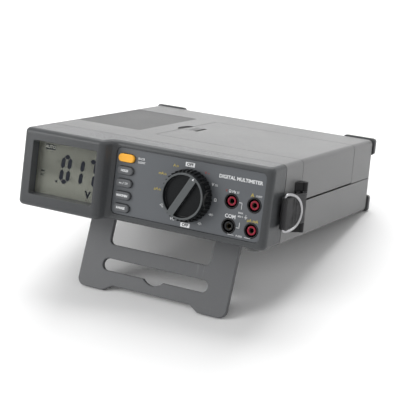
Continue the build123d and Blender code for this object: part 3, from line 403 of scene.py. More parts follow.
# ------------------------------------------------------------------ finishes
@dataclass(frozen=True)
class Finish:
    """A moulded, printed or rubber finish.

    Attributes:
        name: The material's name.
        colour: Its colour in linear light.
        roughness: How matt it is.
        grain_size: Millimetres between grains of its texture.
        grain_depth: Strength of that texture's bump.
        mottle: How much its tone changes.
        wear: How far its edges are rubbed.
        worn: Colour of a rubbed edge.
        dust: How much dust lies on it.
        scuffs: How scratched it is.
        coat: Strength of a clear coat.
        edge_radius: Millimetres over which an edge is rubbed round.
        metallic: 1 for bare metal.
        dust_colour: Colour of the dust.
        gloss: How strongly it mirrors, 0.5 for plain plastic.
        painted_shade: How far its seams and narrow recesses are darkened by painted shade.
        seam_reach: Millimetres within which a wall counts as near for that painted shade.
        painted_shade_tone: Brightness of the painted shade in a seam against the colour.
    """

    name: str
    colour: Colour
    roughness: float = 0.5
    grain_size: float = 0.5
    grain_depth: float = 0.25
    mottle: float = 0.08
    wear: float = 0.25
    worn: Colour = (0.42, 0.42, 0.42)
    dust: float = 0.12
    scuffs: float = 0.15
    coat: float = 0.0
    edge_radius: float = 0.7
    metallic: float = 0.0
    dust_colour: Colour = (0.46, 0.45, 0.43)
    gloss: float = 0.5
    painted_shade: float = 1.0
    seam_reach: float = 2.4
    painted_shade_tone: float = 0.06

    def material(self) -> bpy.types.Material:
        """The finish's material."""
        return finished(self.name, self._shader)

    def _shader(self, sheet: NodeSheet) -> bpy.types.Node:
        """The shader that shows the surface."""
        colour, rough, normal = self.surface(sheet)
        return sheet.add(
            "ShaderNodeBsdfPrincipled",
            {
                "Base Color": colour,
                "Roughness": rough,
                "Normal": normal,
                "Metallic": self.metallic,
                "Specular IOR Level": self.gloss,
                "Coat Weight": self.coat,
                "Coat Roughness": 0.12,
            },
        )

    def group(self, sheet: NodeSheet, tree: bpy.types.NodeTree, **values: float) -> bpy.types.Node:
        """Places a shared group with its own values."""
        node = sheet.add("ShaderNodeGroup", node_tree=tree)
        for label, value in values.items():
            node.inputs[label].default_value = value
        return node

    def surface(self, sheet: NodeSheet) -> tuple[Any, Any, Any]:
        """The colour, roughness and normal of the finish.

        Args:
            sheet: The material's sheet.

        Returns:
            Three outputs for the shader.
        """
        grain = self.group(sheet, EFFECTS.grain, Size=self.grain_size * MM)
        wear = self.group(sheet, EFFECTS.wear, Radius=self.edge_radius * MM, Amount=self.wear)
        dust = self.group(sheet, EFFECTS.dust, Amount=self.dust)
        scuffs = self.group(sheet, EFFECTS.scuffs, Amount=self.scuffs)
        base = self.base_colour(sheet, grain.outputs["Tone"])
        rubbed = sheet.math("ADD", wear.outputs["Mask"], scuffs.outputs["Mask"], clamp=True)
        worn = sheet.blend(rubbed, base, rgba(self.worn))
        dusty = sheet.blend(dust.outputs["Mask"], worn, rgba(self.dust_colour))
        # Painted shade: an ambient occlusion node darkens the colour in seams, gaps and narrow recesses, down to
        # the painted shade tone where a wall is close.
        seam_occlusion = sheet.add("ShaderNodeAmbientOcclusion", {"Distance": self.seam_reach * MM}, samples=8)
        clear = sheet.band(seam_occlusion.outputs["AO"], 0.12, 0.62, 1 - self.painted_shade, 1.0)
        shaded_colour = sheet.blend(clear, rgba(tone(self.colour, self.painted_shade_tone)), dusty)
        spread = sheet.band(grain.outputs["Tone"], 0.2, 0.8, self.roughness - 0.05, self.roughness + 0.05)
        rough = sheet.math("ADD", spread, sheet.math("MULTIPLY", dust.outputs["Mask"], 0.4), clamp=True)
        bump = sheet.add(
            "ShaderNodeBump",
            {
                "Strength": self.grain_depth,
                "Distance": 0.25 * self.grain_size * MM,
                "Height": grain.outputs["Height"],
                "Normal": wear.outputs["Normal"],
            },
        )
        return shaded_colour, rough, bump.outputs["Normal"]

    def base_colour(self, sheet: NodeSheet, slow: Any) -> Any:
        """The colour before wear and dust."""
        return sheet.blend(
            slow, rgba(tone(self.colour, 1 - self.mottle)), rgba(tone(self.colour, 1 + self.mottle))
        )


@dataclass(frozen=True)
class MetalFinish(Finish):
    """A drawn, turned or plated metal.

    Attributes:
        line_pitch: Millimetres between the tool's lines.
    """

    line_pitch: float = 0.25

    def surface(self, sheet: NodeSheet) -> tuple[Any, Any, Any]:
        """The colour, roughness and normal of the metal."""
        grain = self.group(sheet, EFFECTS.grain, Size=self.grain_size * MM)
        lines = self.group(sheet, EFFECTS.brushing, Pitch=self.line_pitch * MM)
        wear = self.group(sheet, EFFECTS.wear, Radius=self.edge_radius * MM, Amount=self.wear)
        base = self.base_colour(sheet, grain.outputs["Tone"])
        colour = sheet.blend(wear.outputs["Mask"], base, rgba(self.worn))
        low, high = max(0.02, self.roughness - 0.06), self.roughness + 0.1
        rough = sheet.band(lines.outputs["Height"], 0.3, 0.7, low, high)
        bump = sheet.add(
            "ShaderNodeBump",
            {
                "Strength": self.grain_depth,
                "Distance": 0.2 * self.line_pitch * MM,
                "Height": lines.outputs["Height"],
                "Normal": wear.outputs["Normal"],
            },
        )
        return colour, rough, bump.outputs["Normal"]


@dataclass(frozen=True)
class BoardFinish(Finish):
    """A circuit board with solder mask, copper runs and tinned pads.

    Attributes:
        copper: Colour of a run under the mask.
        tin: Colour of a bare pad.
    """

    copper: Colour = (0.05, 0.26, 0.12)
    tin: Colour = (0.62, 0.62, 0.6)

    def base_colour(self, sheet: NodeSheet, slow: Any) -> Any:
        """Mask, runs and pads."""
        place = sheet.add("ShaderNodeTexCoord").outputs["Object"]
        mask = sheet.blend(slow, rgba(tone(self.colour, 0.9)), rgba(tone(self.colour, 1.1)))
        runs = sheet.add("ShaderNodeTexVoronoi", {"Vector": place, "Scale": 160.0}, distance="MANHATTAN")
        run = sheet.band(sheet.math("PINGPONG", runs.outputs["Distance"], 0.12), 0.075, 0.085)
        tracked = sheet.blend(run, mask, rgba(self.copper))
        pads = sheet.add("ShaderNodeTexVoronoi", {"Vector": place, "Scale": 240.0, "Randomness": 0.15})
        pad = sheet.band(pads.outputs["Distance"], 0.24, 0.2)
        some = sheet.band(sheet.noise(place, 60.0, 1.0), 0.5, 0.55)
        return sheet.blend(sheet.math("MULTIPLY", pad, some), tracked, rgba(self.tin))


@dataclass(frozen=True)
class DialFinish(Finish):
    """Near-black plastic whose bar top and rim are painted paler: a painted highlight where light falls on the
    raised top.

    Attributes:
        painted_highlight: Colour of the painted highlight on the bar's top and the rim.
        highlight_depth: Millimetres below the dial's top where the painted highlight ends.
    """

    painted_highlight: Colour = (0.105, 0.112, 0.115)
    highlight_depth: float = 0.7

    def base_colour(self, sheet: NodeSheet, slow: Any) -> Any:
        """The dark body and the painted highlight on its top, measured out of the front."""
        body = super().base_colour(sheet, slow)
        front = LAYOUT.front
        top = front.extent("selector_dial")[1].z
        place = sheet.add("ShaderNodeTexCoord").outputs["Object"]
        away = sheet.add("ShaderNodeVectorMath", {0: place, 1: front.origin}, operation="SUBTRACT")
        rise = sheet.add(
            "ShaderNodeVectorMath", {0: away.outputs[0], 1: front.out}, operation="DOT_PRODUCT"
        )
        level = rise.outputs["Value"]
        # Painted highlight: the top of the bar and the rim are painted paler, as if lit more strongly.
        mask = sheet.band(level, (top - self.highlight_depth) * MM, (top - 0.5 * self.highlight_depth) * MM)
        return sheet.blend(mask, body, rgba(self.painted_highlight))


@dataclass(frozen=True)
class CellFinish(Finish):
    """The printed wrap of a dry cell: a dark body with a bright band at its positive end.

    Attributes:
        band_colour: Colour of the bright band.
        band_pitch: Millimetres between bands along the cells.
    """

    band_colour: Colour = (0.72, 0.40, 0.12)
    band_pitch: float = 50.0

    def base_colour(self, sheet: NodeSheet, slow: Any) -> Any:
        """Body and band, measured along the case."""
        place = sheet.add("ShaderNodeTexCoord").outputs["Object"]
        along = sheet.add(
            "ShaderNodeVectorMath", {0: place, 1: LAYOUT.back}, operation="DOT_PRODUCT"
        ).outputs["Value"]
        wave = sheet.math("PINGPONG", along, 0.5 * self.band_pitch * MM)
        lit = sheet.band(wave, 0.36 * self.band_pitch * MM, 0.37 * self.band_pitch * MM)
        body = sheet.blend(slow, rgba(tone(self.colour, 0.9)), rgba(tone(self.colour, 1.1)))
        return sheet.blend(lit, body, rgba(self.band_colour))


@dataclass(frozen=True)
class WebbingFinish(Finish):
    """Woven nylon tape, read from its own UV map in millimetres.

    Attributes:
        pick_pitch: Millimetres between threads along the tape.
        end_pitch: Millimetres between threads across it.
    """

    pick_pitch: float = 1.9
    end_pitch: float = 2.6

    def surface(self, sheet: NodeSheet) -> tuple[Any, Any, Any]:
        """The colour, roughness and normal of the weave."""
        uv = sheet.add("ShaderNodeTexCoord").outputs["UV"]
        parts = sheet.add("ShaderNodeSeparateXYZ", {0: uv})
        along = sheet.math("MULTIPLY", parts.outputs["X"], 2 * math.pi / self.pick_pitch)
        over = sheet.math("MULTIPLY", parts.outputs["Y"], 2 * math.pi / self.end_pitch)
        twill = sheet.math("SINE", sheet.math("ADD", along, over))
        counter = sheet.math("SINE", sheet.math("SUBTRACT", along, over))
        wales = sheet.math("SINE", sheet.math("MULTIPLY", over, 0.5))
        chevron = sheet.blend(sheet.band(wales, -0.1, 0.1), twill, counter)
        height = sheet.band(chevron, -1.0, 1.0)
        place = sheet.add("ShaderNodeTexCoord").outputs["Object"]
        fibre = sheet.noise(place, 5000.0, 2.0)
        # Painted highlight and shade: the twill's raised threads are painted paler than the black tape and its
        # hollows darker.
        dark, light = rgba(tone(self.colour, 0.2)), rgba(tone(self.colour, 3.6))
        threads = sheet.blend(height, dark, light)
        fuzz = sheet.blend(sheet.band(fibre, 0.45, 0.75, 0.0, 0.05), threads, rgba(self.dust_colour))
        dust = self.group(sheet, EFFECTS.dust, Amount=self.dust)
        colour = sheet.blend(dust.outputs["Mask"], fuzz, rgba(self.dust_colour))
        relief = sheet.math("ADD", height, sheet.math("MULTIPLY", fibre, 0.3))
        bump = sheet.add("ShaderNodeBump", {"Strength": 0.9, "Distance": 0.4 * MM, "Height": relief})
        rough = sheet.band(height, 0.0, 1.0, self.roughness + 0.1, self.roughness - 0.1)
        return colour, rough, bump.outputs["Normal"]


@dataclass(frozen=True)
class ClearWindow:
    """A clear acrylic window, shown as a thin glossy film so that what is behind stays lit.

    Attributes:
        name: The material's name.
        tint: Colour of the film.
        veil: How much of what is behind it hides.
        motes: How much more a mote of dust hides.
    """

    name: str = "clear_window"
    tint: Colour = (0.05, 0.055, 0.055)
    veil: float = 0.02
    motes: float = 0.04

    def material(self) -> bpy.types.Material:
        """The window's material."""
        return finished(self.name, self._shader)

    def _shader(self, sheet: NodeSheet) -> bpy.types.Node:
        """The shader of the film."""
        place = sheet.add("ShaderNodeTexCoord").outputs["Object"]
        smear = sheet.band(sheet.noise(place, 26.0, 4.0), 0.3, 0.8, 0.04, 0.14)
        hidden = sheet.band(sheet.noise(place, 1400.0, 1.0), 0.7, 0.8, self.veil, self.veil + self.motes)
        return sheet.add(
            "ShaderNodeBsdfPrincipled",
            {"Base Color": rgba(self.tint), "Roughness": smear, "Alpha": hidden, "Metallic": 0.0},
        )


CASE_GREY = Finish(
    "case_moulding", (0.120, 0.121, 0.122), 0.34, 0.6, 0.45, 0.08, 0.30,
    dust=0.08, gloss=0.46,
)
LID_GREY = Finish(
    "lid_moulding", (0.116, 0.117, 0.118), 0.34, 0.6, 0.45, 0.08, 0.35,
    dust=0.08, gloss=0.46,
)
BEZEL_GREY = Finish(
    "bezel_moulding", (0.064, 0.067, 0.070), 0.24, 0.35, 0.12, 0.05, 0.10,
    dust=0.03, gloss=0.20,
)
STAND_GREY = Finish(
    "stand_moulding", (0.112, 0.115, 0.120), 0.46, 0.5, 0.35, 0.07, 0.55,
    dust=0.05, gloss=0.3,
)
PANEL_FILM = Finish(
    "panel_print", (0.092, 0.099, 0.108), 0.42, 0.25, 0.15, 0.04, 0.10,
    dust=0.03, gloss=0.35,
)
STORE_BLACK = Finish(
    "store_moulding", (0.008, 0.008, 0.009), 0.52, 0.5, 0.35, 0.12, 0.10,
    dust=0.03, gloss=0.15,
)
JACK_BLACK = Finish(
    "jack_moulding", (0.009, 0.009, 0.010), 0.26, 0.35, 0.08, 0.08, 0.15,
    dust=0.02, gloss=0.25,
)
JACK_RED = Finish(
    "jack_shroud_red", (0.27, 0.010, 0.030), 0.24, 0.35, 0.08, 0.08, 0.10, (0.7, 0.2, 0.2), 0.02,
    gloss=0.25,
)
KEY_GREY = Finish(
    "key_rubber", (0.098, 0.102, 0.108), 0.58, 0.4, 0.25, 0.08, 0.25,
    dust=0.05, gloss=0.3,
)
KEY_AMBER = Finish(
    "key_amber", (0.92, 0.44, 0.045), 0.50, 0.4, 0.20, 0.06, 0.15, (0.95, 0.66, 0.25), 0.03,
    gloss=0.3,
)
PAD_RUBBER = Finish(
    "pad_rubber", (0.082, 0.083, 0.084), 0.56, 1.0, 0.70, 0.12, 0.30,
    dust=0.10, gloss=0.38,
)
BUMPER_RUBBER = Finish(
    "bumper_rubber", (0.080, 0.082, 0.084), 0.48, 0.7, 0.40, 0.10, 0.35,
    dust=0.10, gloss=0.4,
)
ANCHOR_BLACK = Finish(
    "anchor_moulding", (0.010, 0.010, 0.011), 0.34, 0.4, 0.2, 0.1, 0.15,
    dust=0.02, gloss=0.2,
)
ROTOR_NATURAL = Finish("rotor_acetal", (0.72, 0.68, 0.56), 0.42, 0.5, 0.15, 0.05, 0.1)
CHIP_BLACK = Finish("chip_body", (0.020, 0.020, 0.022), 0.55, 0.3, 0.4, 0.1, 0.1)
CERAMIC = Finish("fuse_body", (0.80, 0.78, 0.72), 0.30, 0.5, 0.1, 0.04, 0.1, coat=0.4)
# The cell's grey is painted paler than its own: painted light that makes up for the shade in the display's deep
# recess.
LCD_GLASS = Finish(
    "lcd_cell", (0.44, 0.452, 0.390), 0.30, 0.28, 0.05, 0.03, 0.0,
    dust=0.0, scuffs=0.0, gloss=0.1, painted_shade=0.0,
)
LCD_INK = Finish(
    "lcd_segments", (0.010, 0.012, 0.020), 0.35, 0.3, 0.1, 0.1, 0.0,
    dust=0.0, scuffs=0.0, gloss=0.1, painted_shade=0.0,
)
INK_WHITE = Finish("ink_white", (0.78, 0.79, 0.80), 0.5, 0.2, 0.2, 0.06, 0.0, dust=0.0, scuffs=0.10)
INK_YELLOW = Finish(
    "ink_yellow", (0.46, 0.36, 0.07), 0.5, 0.2, 0.2, 0.06, 0.0,
    dust=0.0, scuffs=0.10,
)
INK_RED = Finish("ink_red", (0.26, 0.03, 0.03), 0.5, 0.2, 0.2, 0.06, 0.0, dust=0.0, scuffs=0.10)
INK_DARK = Finish("ink_dark", (0.03, 0.032, 0.036), 0.5, 0.2, 0.2, 0.06, 0.0, dust=0.0, scuffs=0.10)
LABEL_FOIL = Finish(
    "label_foil", (0.33, 0.335, 0.34), 0.36, 0.3, 0.1, 0.05, 0.1,
    dust=0.05, coat=0.2,
)
STEEL = MetalFinish(
    "zinc_steel", (0.60, 0.60, 0.62), 0.32,
    metallic=1.0, wear=0.2, worn=(0.8, 0.8, 0.8),
)
CHROME = MetalFinish(
    "ring_plating", (0.36, 0.36, 0.37), 0.20, metallic=1.0, wear=0.1, worn=(0.5, 0.5, 0.5), mottle=0.04,
    grain_depth=0.08,
)
# Far darker than bare brass: a darker plating in part, and painted shade deep in the jacks' bores.
BRASS = MetalFinish(
    "contact_brass", (0.085, 0.070, 0.045), 0.38,
    metallic=1.0, wear=0.2, worn=(0.3, 0.26, 0.2),
)
BOARD = BoardFinish("circuit_board", (0.018, 0.12, 0.05), 0.35, wear=0.1, coat=0.4)
DIAL_BLACK = DialFinish(
    "dial_moulding", (0.010, 0.011, 0.012), 0.30, 0.35, 0.20, 0.08, 0.25,
    dust=0.0, gloss=0.10,
)
CELL = CellFinish(
    "cell_print", (0.045, 0.050, 0.060), 0.30,
    metallic=0.4, coat=0.4, grain_depth=0.05,
)
WEBBING = WebbingFinish("woven_webbing", (0.013, 0.013, 0.014), 0.50, dust=0.01, gloss=0.2)
THREAD = Finish("sewing_thread", (0.055, 0.055, 0.058), 0.6, 0.2, 0.6, 0.1, 0.0, dust=0.05)
WINDOW = ClearWindow()

NODE_FINISHES: dict[Any, Sequence[str]] = {
    CASE_GREY: ("upper_case", "lower_case", "battery_door"),
    LID_GREY: ("store_lid", "lid_latch"),
    BEZEL_GREY: ("front_bezel",),
    STAND_GREY: ("tilt_stand",),
    PANEL_FILM: ("control_panel",),
    WINDOW: ("display_lens",),
    LCD_GLASS: ("display_glass",),
    STORE_BLACK: ("lead_store", "joint_ring", "display_holder", "battery_box", "buzzer"),
    DIAL_BLACK: ("selector_dial",),
    JACK_BLACK: ("jack_block", "common_jack"),
    JACK_RED: ("volt_jack", "amp_jack", "milliamp_jack"),
    KEY_GREY: ("range_button", "max_min_button", "function_button", "hold_button"),
    KEY_AMBER: ("backlight_button",),
    PAD_RUBBER: ("top_pad",),
    BUMPER_RUBBER: ("lower_bumpers", "upper_bumpers", "front_feet", "key_mat"),
    ANCHOR_BLACK: ("right_strap_anchor", "left_strap_anchor"),
    ROTOR_NATURAL: ("switch_rotor",),
    CHIP_BLACK: ("converter_chip",),
    CERAMIC: ("fuses",),
    STEEL: (
        "dial_spindle", "board_screws", "case_screws", "door_screws", "lid_hinge_pins", "stand_pins",
        "right_strap_pin", "left_strap_pin", "fuse_clips", "battery_contacts",
    ),
    CHROME: ("right_ring", "left_ring"),
    BRASS: ("volt_contact", "amp_contact", "common_contact", "milliamp_contact"),
    BOARD: ("display_board", "key_board", "main_board"),
    CELL: ("batteries",),
    WEBBING: ("right_strap_tab", "left_strap_tab"),
}


def dress_frame() -> None:
    """Gives every CAD node its finish."""
    for finish, nodes in NODE_FINISHES.items():
        for node in nodes:
            mesh = frame["nodes"][node].data
            mesh.materials.clear()
            mesh.materials.append(finish.material())
    LOG.info("dressed %d nodes", sum(len(nodes) for nodes in NODE_FINISHES.values()))


# ------------------------------------------------------------------ pieces
def add_piece(name: str, mesh: bpy.types.Mesh, finish: Any, body: Body) -> bpy.types.Object:
    """Links a finished mesh to the scene and rides it on its body.

    Args:
        name: The piece's name.
        mesh: Its mesh, in the shared frame.
        finish: What it is finished with.
        body: The body it moves with.

    Returns:
        The object.
    """
    mesh.name = name
    mesh.materials.clear()
    mesh.materials.append(finish.material())
    piece = bpy.data.objects.new(name, mesh)
    bpy.context.scene.collection.objects.link(piece)
    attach(piece, body.value)
    LOG.info("%s: %d faces on %s", name, len(mesh.polygons), body.value)
    return piece


def plain_mesh(source: bpy.types.Object) -> bpy.types.Mesh:
    """The evaluated shape of an object as a mesh of its own; the object is removed."""
    graph = bpy.context.evaluated_depsgraph_get()
    graph.update()
    mesh = bpy.data.meshes.new_from_object(source.evaluated_get(graph), depsgraph=graph)
    bpy.data.objects.remove(source)
    return mesh


class PrintLayer:
    """One colour of print on one face: letters, bars, rings and plates a hair thick."""

    THICKNESS = 0.05

    def __init__(self, face: Face, rise: float) -> None:
        """Starts an empty layer.

        Args:
            face: The plane that is printed on.
            rise: Millimetres from that plane to the printed surface.
        """
        self.face = face
        self.rise = rise
        self.shapes = bmesh.new()

    def _stamp(self, mesh: bpy.types.Mesh, matrix: Matrix) -> None:
        """Adds a mesh, drawn about its own zero point, to the layer."""
        mesh.transform(matrix)
        self.shapes.from_mesh(mesh)
        bpy.data.meshes.remove(mesh)

    def text(
        self, words: str, x: float, s: float, height: float,
        bold: float = 0.0, align: str = "CENTER", squeeze: float = 1.0,
    ) -> "PrintLayer":
        """Prints words.

        Args:
            words: What is printed.
            x: Millimetres across.
            s: Millimetres up.
            height: Height of a capital letter in millimetres.
            bold: Millimetres that strokes are thickened by.
            align: LEFT, CENTER or RIGHT.
            squeeze: Width of the letters against their normal width.

        Returns:
            The layer.
        """
        curve = bpy.data.curves.new("lettering", "FONT")
        curve.body = words
        curve.size = height / 0.7 * MM
        curve.align_x = align
        curve.align_y = "CENTER"
        curve.resolution_u = 3
        curve.offset = bold * MM
        curve.extrude = 0.5 * self.THICKNESS * MM
        sign = bpy.data.objects.new("lettering", curve)
        bpy.context.scene.collection.objects.link(sign)
        mesh = plain_mesh(sign)
        bpy.data.curves.remove(curve)
        widths = Matrix.Diagonal((squeeze, 1.0, 1.0, 1.0))
        self._stamp(mesh, self.face.matrix(x, s, self.rise + 0.5 * self.THICKNESS) @ widths)
        return self

    def plate(self, outline: Iterable[Point2], thickness: float | None = None) -> "PrintLayer":
        """Prints a filled outline, given counter-clockwise in plane millimetres."""
        high = self.rise + (thickness or self.THICKNESS)
        points = list(outline)
        lower = [self.shapes.verts.new(self.face.at(x, s, self.rise)) for x, s in points]
        upper = [self.shapes.verts.new(self.face.at(x, s, high)) for x, s in points]
        self.shapes.faces.new(upper)
        self.shapes.faces.new(lower[::-1])
        for i in range(len(points)):
            j = (i + 1) % len(points)
            self.shapes.faces.new((lower[i], lower[j], upper[j], upper[i]))
        return self

    def bar(self, start: Point2, end: Point2, width: float) -> "PrintLayer":
        """Prints a straight line between two points."""
        along = Vector(end) - Vector(start)
        side = Vector((-along.y, along.x)).normalized() * width / 2
        a, b = Vector(start), Vector(end)
        return self.plate([tuple(a - side), tuple(b - side), tuple(b + side), tuple(a + side)])

    def path(self, points: Sequence[Point2], width: float) -> "PrintLayer":
        """Prints a line of several runs, each run past its corner by half its width."""
        for start, end in zip(points, points[1:]):
            reach = (Vector(end) - Vector(start)).normalized() * width / 2
            self.bar(tuple(Vector(start) - reach), tuple(Vector(end) + reach), width)
        return self

    def box(self, x: float, s: float, width: float, height: float, radius: float = 0.6,
            thickness: float | None = None) -> "PrintLayer":
        """Prints a filled rectangle with rounded corners."""
        points = []
        for corner, (sx, sy) in enumerate(((1, 1), (-1, 1), (-1, -1), (1, -1))):
            for step in range(5):
                angle = math.radians(90 * corner + 22.5 * step)
                points.append(
                    (
                        x + sx * (width / 2 - radius) + radius * math.cos(angle),
                        s + sy * (height / 2 - radius) + radius * math.sin(angle),
                    )
                )
        return self.plate(points, thickness)

    def arc(self, x: float, s: float, radius: float, width: float, start: float, end: float,
            steps: int = 12) -> "PrintLayer":
        """Prints part of a ring, in degrees counter-clockwise from the right."""
        angles = [math.radians(start + (end - start) * i / steps) for i in range(steps + 1)]
        outer, inner = (
            [(x + reach * math.cos(a), s + reach * math.sin(a)) for a in angles]
            for reach in (radius + width / 2, radius - width / 2)
        )
        for i in range(steps):
            self.plate([inner[i], outer[i], outer[i + 1], inner[i + 1]])
        return self

    def piece(self, name: str, finish: Any, body: Body, slot: str) -> bpy.types.Object:
        """Turns the layer into a piece."""
        mesh = bpy.data.meshes.new(name)
        self.shapes.to_mesh(mesh)
        self.shapes.free()
        return add_piece(name, mesh, finish, body)


# ------------------------------------------------------------------ geometry node trees
class RepeatTree:
    """A Geometry Nodes tree that sets one small shape at many places."""

    def __init__(self, name: str, inputs: dict[str, str]) -> None:
        """Starts the tree.

        Args:
            name: The tree's name.
            inputs: Named inputs with their kinds, such as Float.
        """
        self.tree = bpy.data.node_groups.new(name, "GeometryNodeTree")
        for label, kind in inputs.items():
            self.tree.interface.new_socket(label, in_out="INPUT", socket_type="NodeSocket" + kind)
        self.tree.interface.new_socket("Geometry", in_out="OUTPUT", socket_type="NodeSocketGeometry")
        self.sheet = NodeSheet(self.tree)
        self.given = self.sheet.add("NodeGroupInput").outputs

    def close(self, instances: Any) -> None:
        """Ends the tree: instances are made real and take the Finish input."""
        real = self.sheet.add("GeometryNodeRealizeInstances", {"Geometry": instances})
        dressed = self.sheet.add(
            "GeometryNodeSetMaterial", {"Geometry": real.outputs[0], "Material": self.given["Finish"]}
        )
        self.sheet.add("NodeGroupOutput", {"Geometry": dressed.outputs[0]})

    def grow(self, name: str, seed: Any, finish: Any, **values: Any) -> bpy.types.Mesh:
        """Runs the tree.

        Args:
            name: Name of the working object.
            seed: The mesh or curve that goes in.
            finish: The finish for the Finish input.
            values: The other inputs, with underscores for spaces.

        Returns:
            The result as a plain mesh.
        """
        worker = bpy.data.objects.new(name, seed)
        bpy.context.scene.collection.objects.link(worker)
        modifier = worker.modifiers.new(name, "NODES")
        modifier.node_group = self.tree
        named = {label.replace("_", " "): value for label, value in values.items()}
        named["Finish"] = finish.material()
        for item in self.tree.interface.items_tree:
            if item.in_out == "INPUT" and item.name in named:
                modifier[item.identifier] = named[item.name]
        return plain_mesh(worker)


class StitchesOnSeam(RepeatTree):
    """Lays stitches end to end along a seam."""

    def __init__(self) -> None:
        """Builds the tree."""
        super().__init__(
            "stitches_on_seam",
            {
                "Geometry": "Geometry",
                "Stitches": "Int",
                "Thread": "Float",
                "Stitch Length": "Float",
                "Finish": "Material",
            },
        )
        points = self.sheet.add(
            "GeometryNodeCurveToPoints", {"Curve": self.given["Geometry"], "Count": self.given["Stitches"]}
        )
        grain = self.sheet.add("GeometryNodeMeshUVSphere", {"Segments": 6, "Rings": 5, "Radius": 1.0})
        size = self.sheet.add(
            "ShaderNodeCombineXYZ",
            {"X": self.given["Thread"], "Y": self.given["Thread"], "Z": self.given["Stitch Length"]},
        )
        placed = self.sheet.add(
            "GeometryNodeInstanceOnPoints",
            {
                "Points": points.outputs["Points"],
                "Instance": grain.outputs["Mesh"],
                "Rotation": points.outputs["Rotation"],
                "Scale": size.outputs[0],
            },
        )
        self.close(placed.outputs[0])


class RibsInARow(RepeatTree):
    """Sets rounded ribs in a row at equal steps."""

    def __init__(self) -> None:
        """Builds the tree."""
        super().__init__(
            "ribs_in_a_row",
            {
                "Geometry": "Geometry",
                "Count": "Int",
                "First": "Vector",
                "Step": "Vector",
                "Rib Radius": "Float",
                "Rib Length": "Float",
                "Turn": "Vector",
                "Finish": "Material",
            },
        )
        row = self.sheet.add(
            "GeometryNodeMeshLine",
            {
                "Count": self.given["Count"],
                "Start Location": self.given["First"],
                "Offset": self.given["Step"],
            },
        )
        rib = self.sheet.add(
            "GeometryNodeMeshCylinder",
            {"Vertices": 12, "Radius": self.given["Rib Radius"], "Depth": self.given["Rib Length"]},
        )
        placed = self.sheet.add(
            "GeometryNodeInstanceOnPoints",
            {
                "Points": row.outputs["Mesh"],
                "Instance": rib.outputs["Mesh"],
                "Rotation": self.given["Turn"],
            },
        )
        self.close(placed.outputs[0])


def join_meshes(meshes: Iterable[bpy.types.Mesh]) -> bpy.types.Mesh:
    """Several meshes made into one; the originals are removed."""
    shapes = bmesh.new()
    for mesh in meshes:
        shapes.from_mesh(mesh)
        bpy.data.meshes.remove(mesh)
    joined = bpy.data.meshes.new("joined")
    shapes.to_mesh(joined)
    shapes.free()
    return joined


# ------------------------------------------------------------------ sub-assemblies
@dataclass
class Display:
    """The liquid crystal panel's segments and signs.

    Attributes:
        reading: The digits shown, from left to right, with a blank first place.
        first_x: Middle of the first digit place.
        pitch: From one digit to the next.
        width: Width of a digit.
        base_s: Height of the digits' feet up the front.
        height: Height of a digit.
        stroke: Width of a segment.
        slant: Degrees that the digits lean to the right.
        segment_gap: Between the ends of two segments, halved.
        point_size: Side of the decimal point.
        auto_place: Middle of the AUTO sign.
        auto_box: Width and height of its box.
    """

    reading: str = " 017"
    first_x: float = -95.9
    pitch: float = 14.1
    width: float = 11.4
    base_s: float = 24.6
    height: float = 27.2
    stroke: float = 4.2
    slant: float = 4.0
    segment_gap: float = 0.35
    point_size: float = 2.2
    auto_place: Point2 = (-99.6, 56.2)
    auto_box: Point2 = (11.5, 5.0)
    lit: dict[str, str] = field(
        default_factory=lambda: {
            " ": "", "0": "abcdef", "1": "bc", "2": "abged", "3": "abgcd", "4": "fgbc", "5": "afgcd",
            "6": "afgedc", "7": "abc", "8": "abcdefg", "9": "abcdfg",
        }
    )

    def _segment(self, layer: PrintLayer, x: float, name: str) -> None:
        """Prints one segment of the digit whose middle is at x."""
        half, mid, top = self.width / 2, self.height / 2, self.height
        inset, gap = self.stroke / 2, self.segment_gap
        ends = {
            "a": ((-half + inset, top - inset), (half - inset, top - inset)),
            "g": ((-half + inset, mid), (half - inset, mid)),
            "d": ((-half + inset, inset), (half - inset, inset)),
            "f": ((-half + inset, mid), (-half + inset, top - inset)),
            "b": ((half - inset, mid), (half - inset, top - inset)),
            "e": ((-half + inset, inset), (-half + inset, mid)),
            "c": ((half - inset, inset), (half - inset, mid)),
        }
        start, end = (Vector(point) for point in ends[name])
        along = (end - start).normalized()
        side = Vector((-along.y, along.x)) * inset
        start, end = start + along * gap, end - along * gap
        outline = [
            start, start + along * inset - side, end - along * inset - side,
            end, end - along * inset + side, start + along * inset + side,
        ]
        lean = math.tan(math.radians(self.slant))
        layer.plate([(x + p.x + p.y * lean, self.base_s + p.y) for p in outline])

    def build(self) -> None:
        """Builds the segments that are lit, the point and the signs."""
        front = LAYOUT.front
        surface = front.extent("display_glass")[1].z
        lit = PrintLayer(front, surface + 0.02)
        for place, digit in enumerate(self.reading):
            for name in self.lit[digit]:
                self._segment(lit, self.first_x + place * self.pitch, name)
        point = self.point_size
        lit.box(self.first_x + 0.5 * self.pitch - 0.9, self.base_s + 0.5 * point, point, point, 0.4)
        lit.box(*self.auto_place, *self.auto_box, 1.3)
        lit.text("~", -105.6, 33.4, 4.6, bold=0.25)
        lit.text("AC", -105.6, 29.4, 2.4, bold=0.08)
        lit.text("V", -54.3, 18.6, 6.4, bold=0.45)
        lit.piece("display_lit_segments", LCD_INK, Body.CASE, "lcd_glass")
        pale = PrintLayer(front, surface + 0.08)
        pale.text("AUTO", *self.auto_place, 2.8, bold=0.12)
        pale.piece("display_auto_sign", LCD_GLASS, Body.CASE, "lcd_glass")


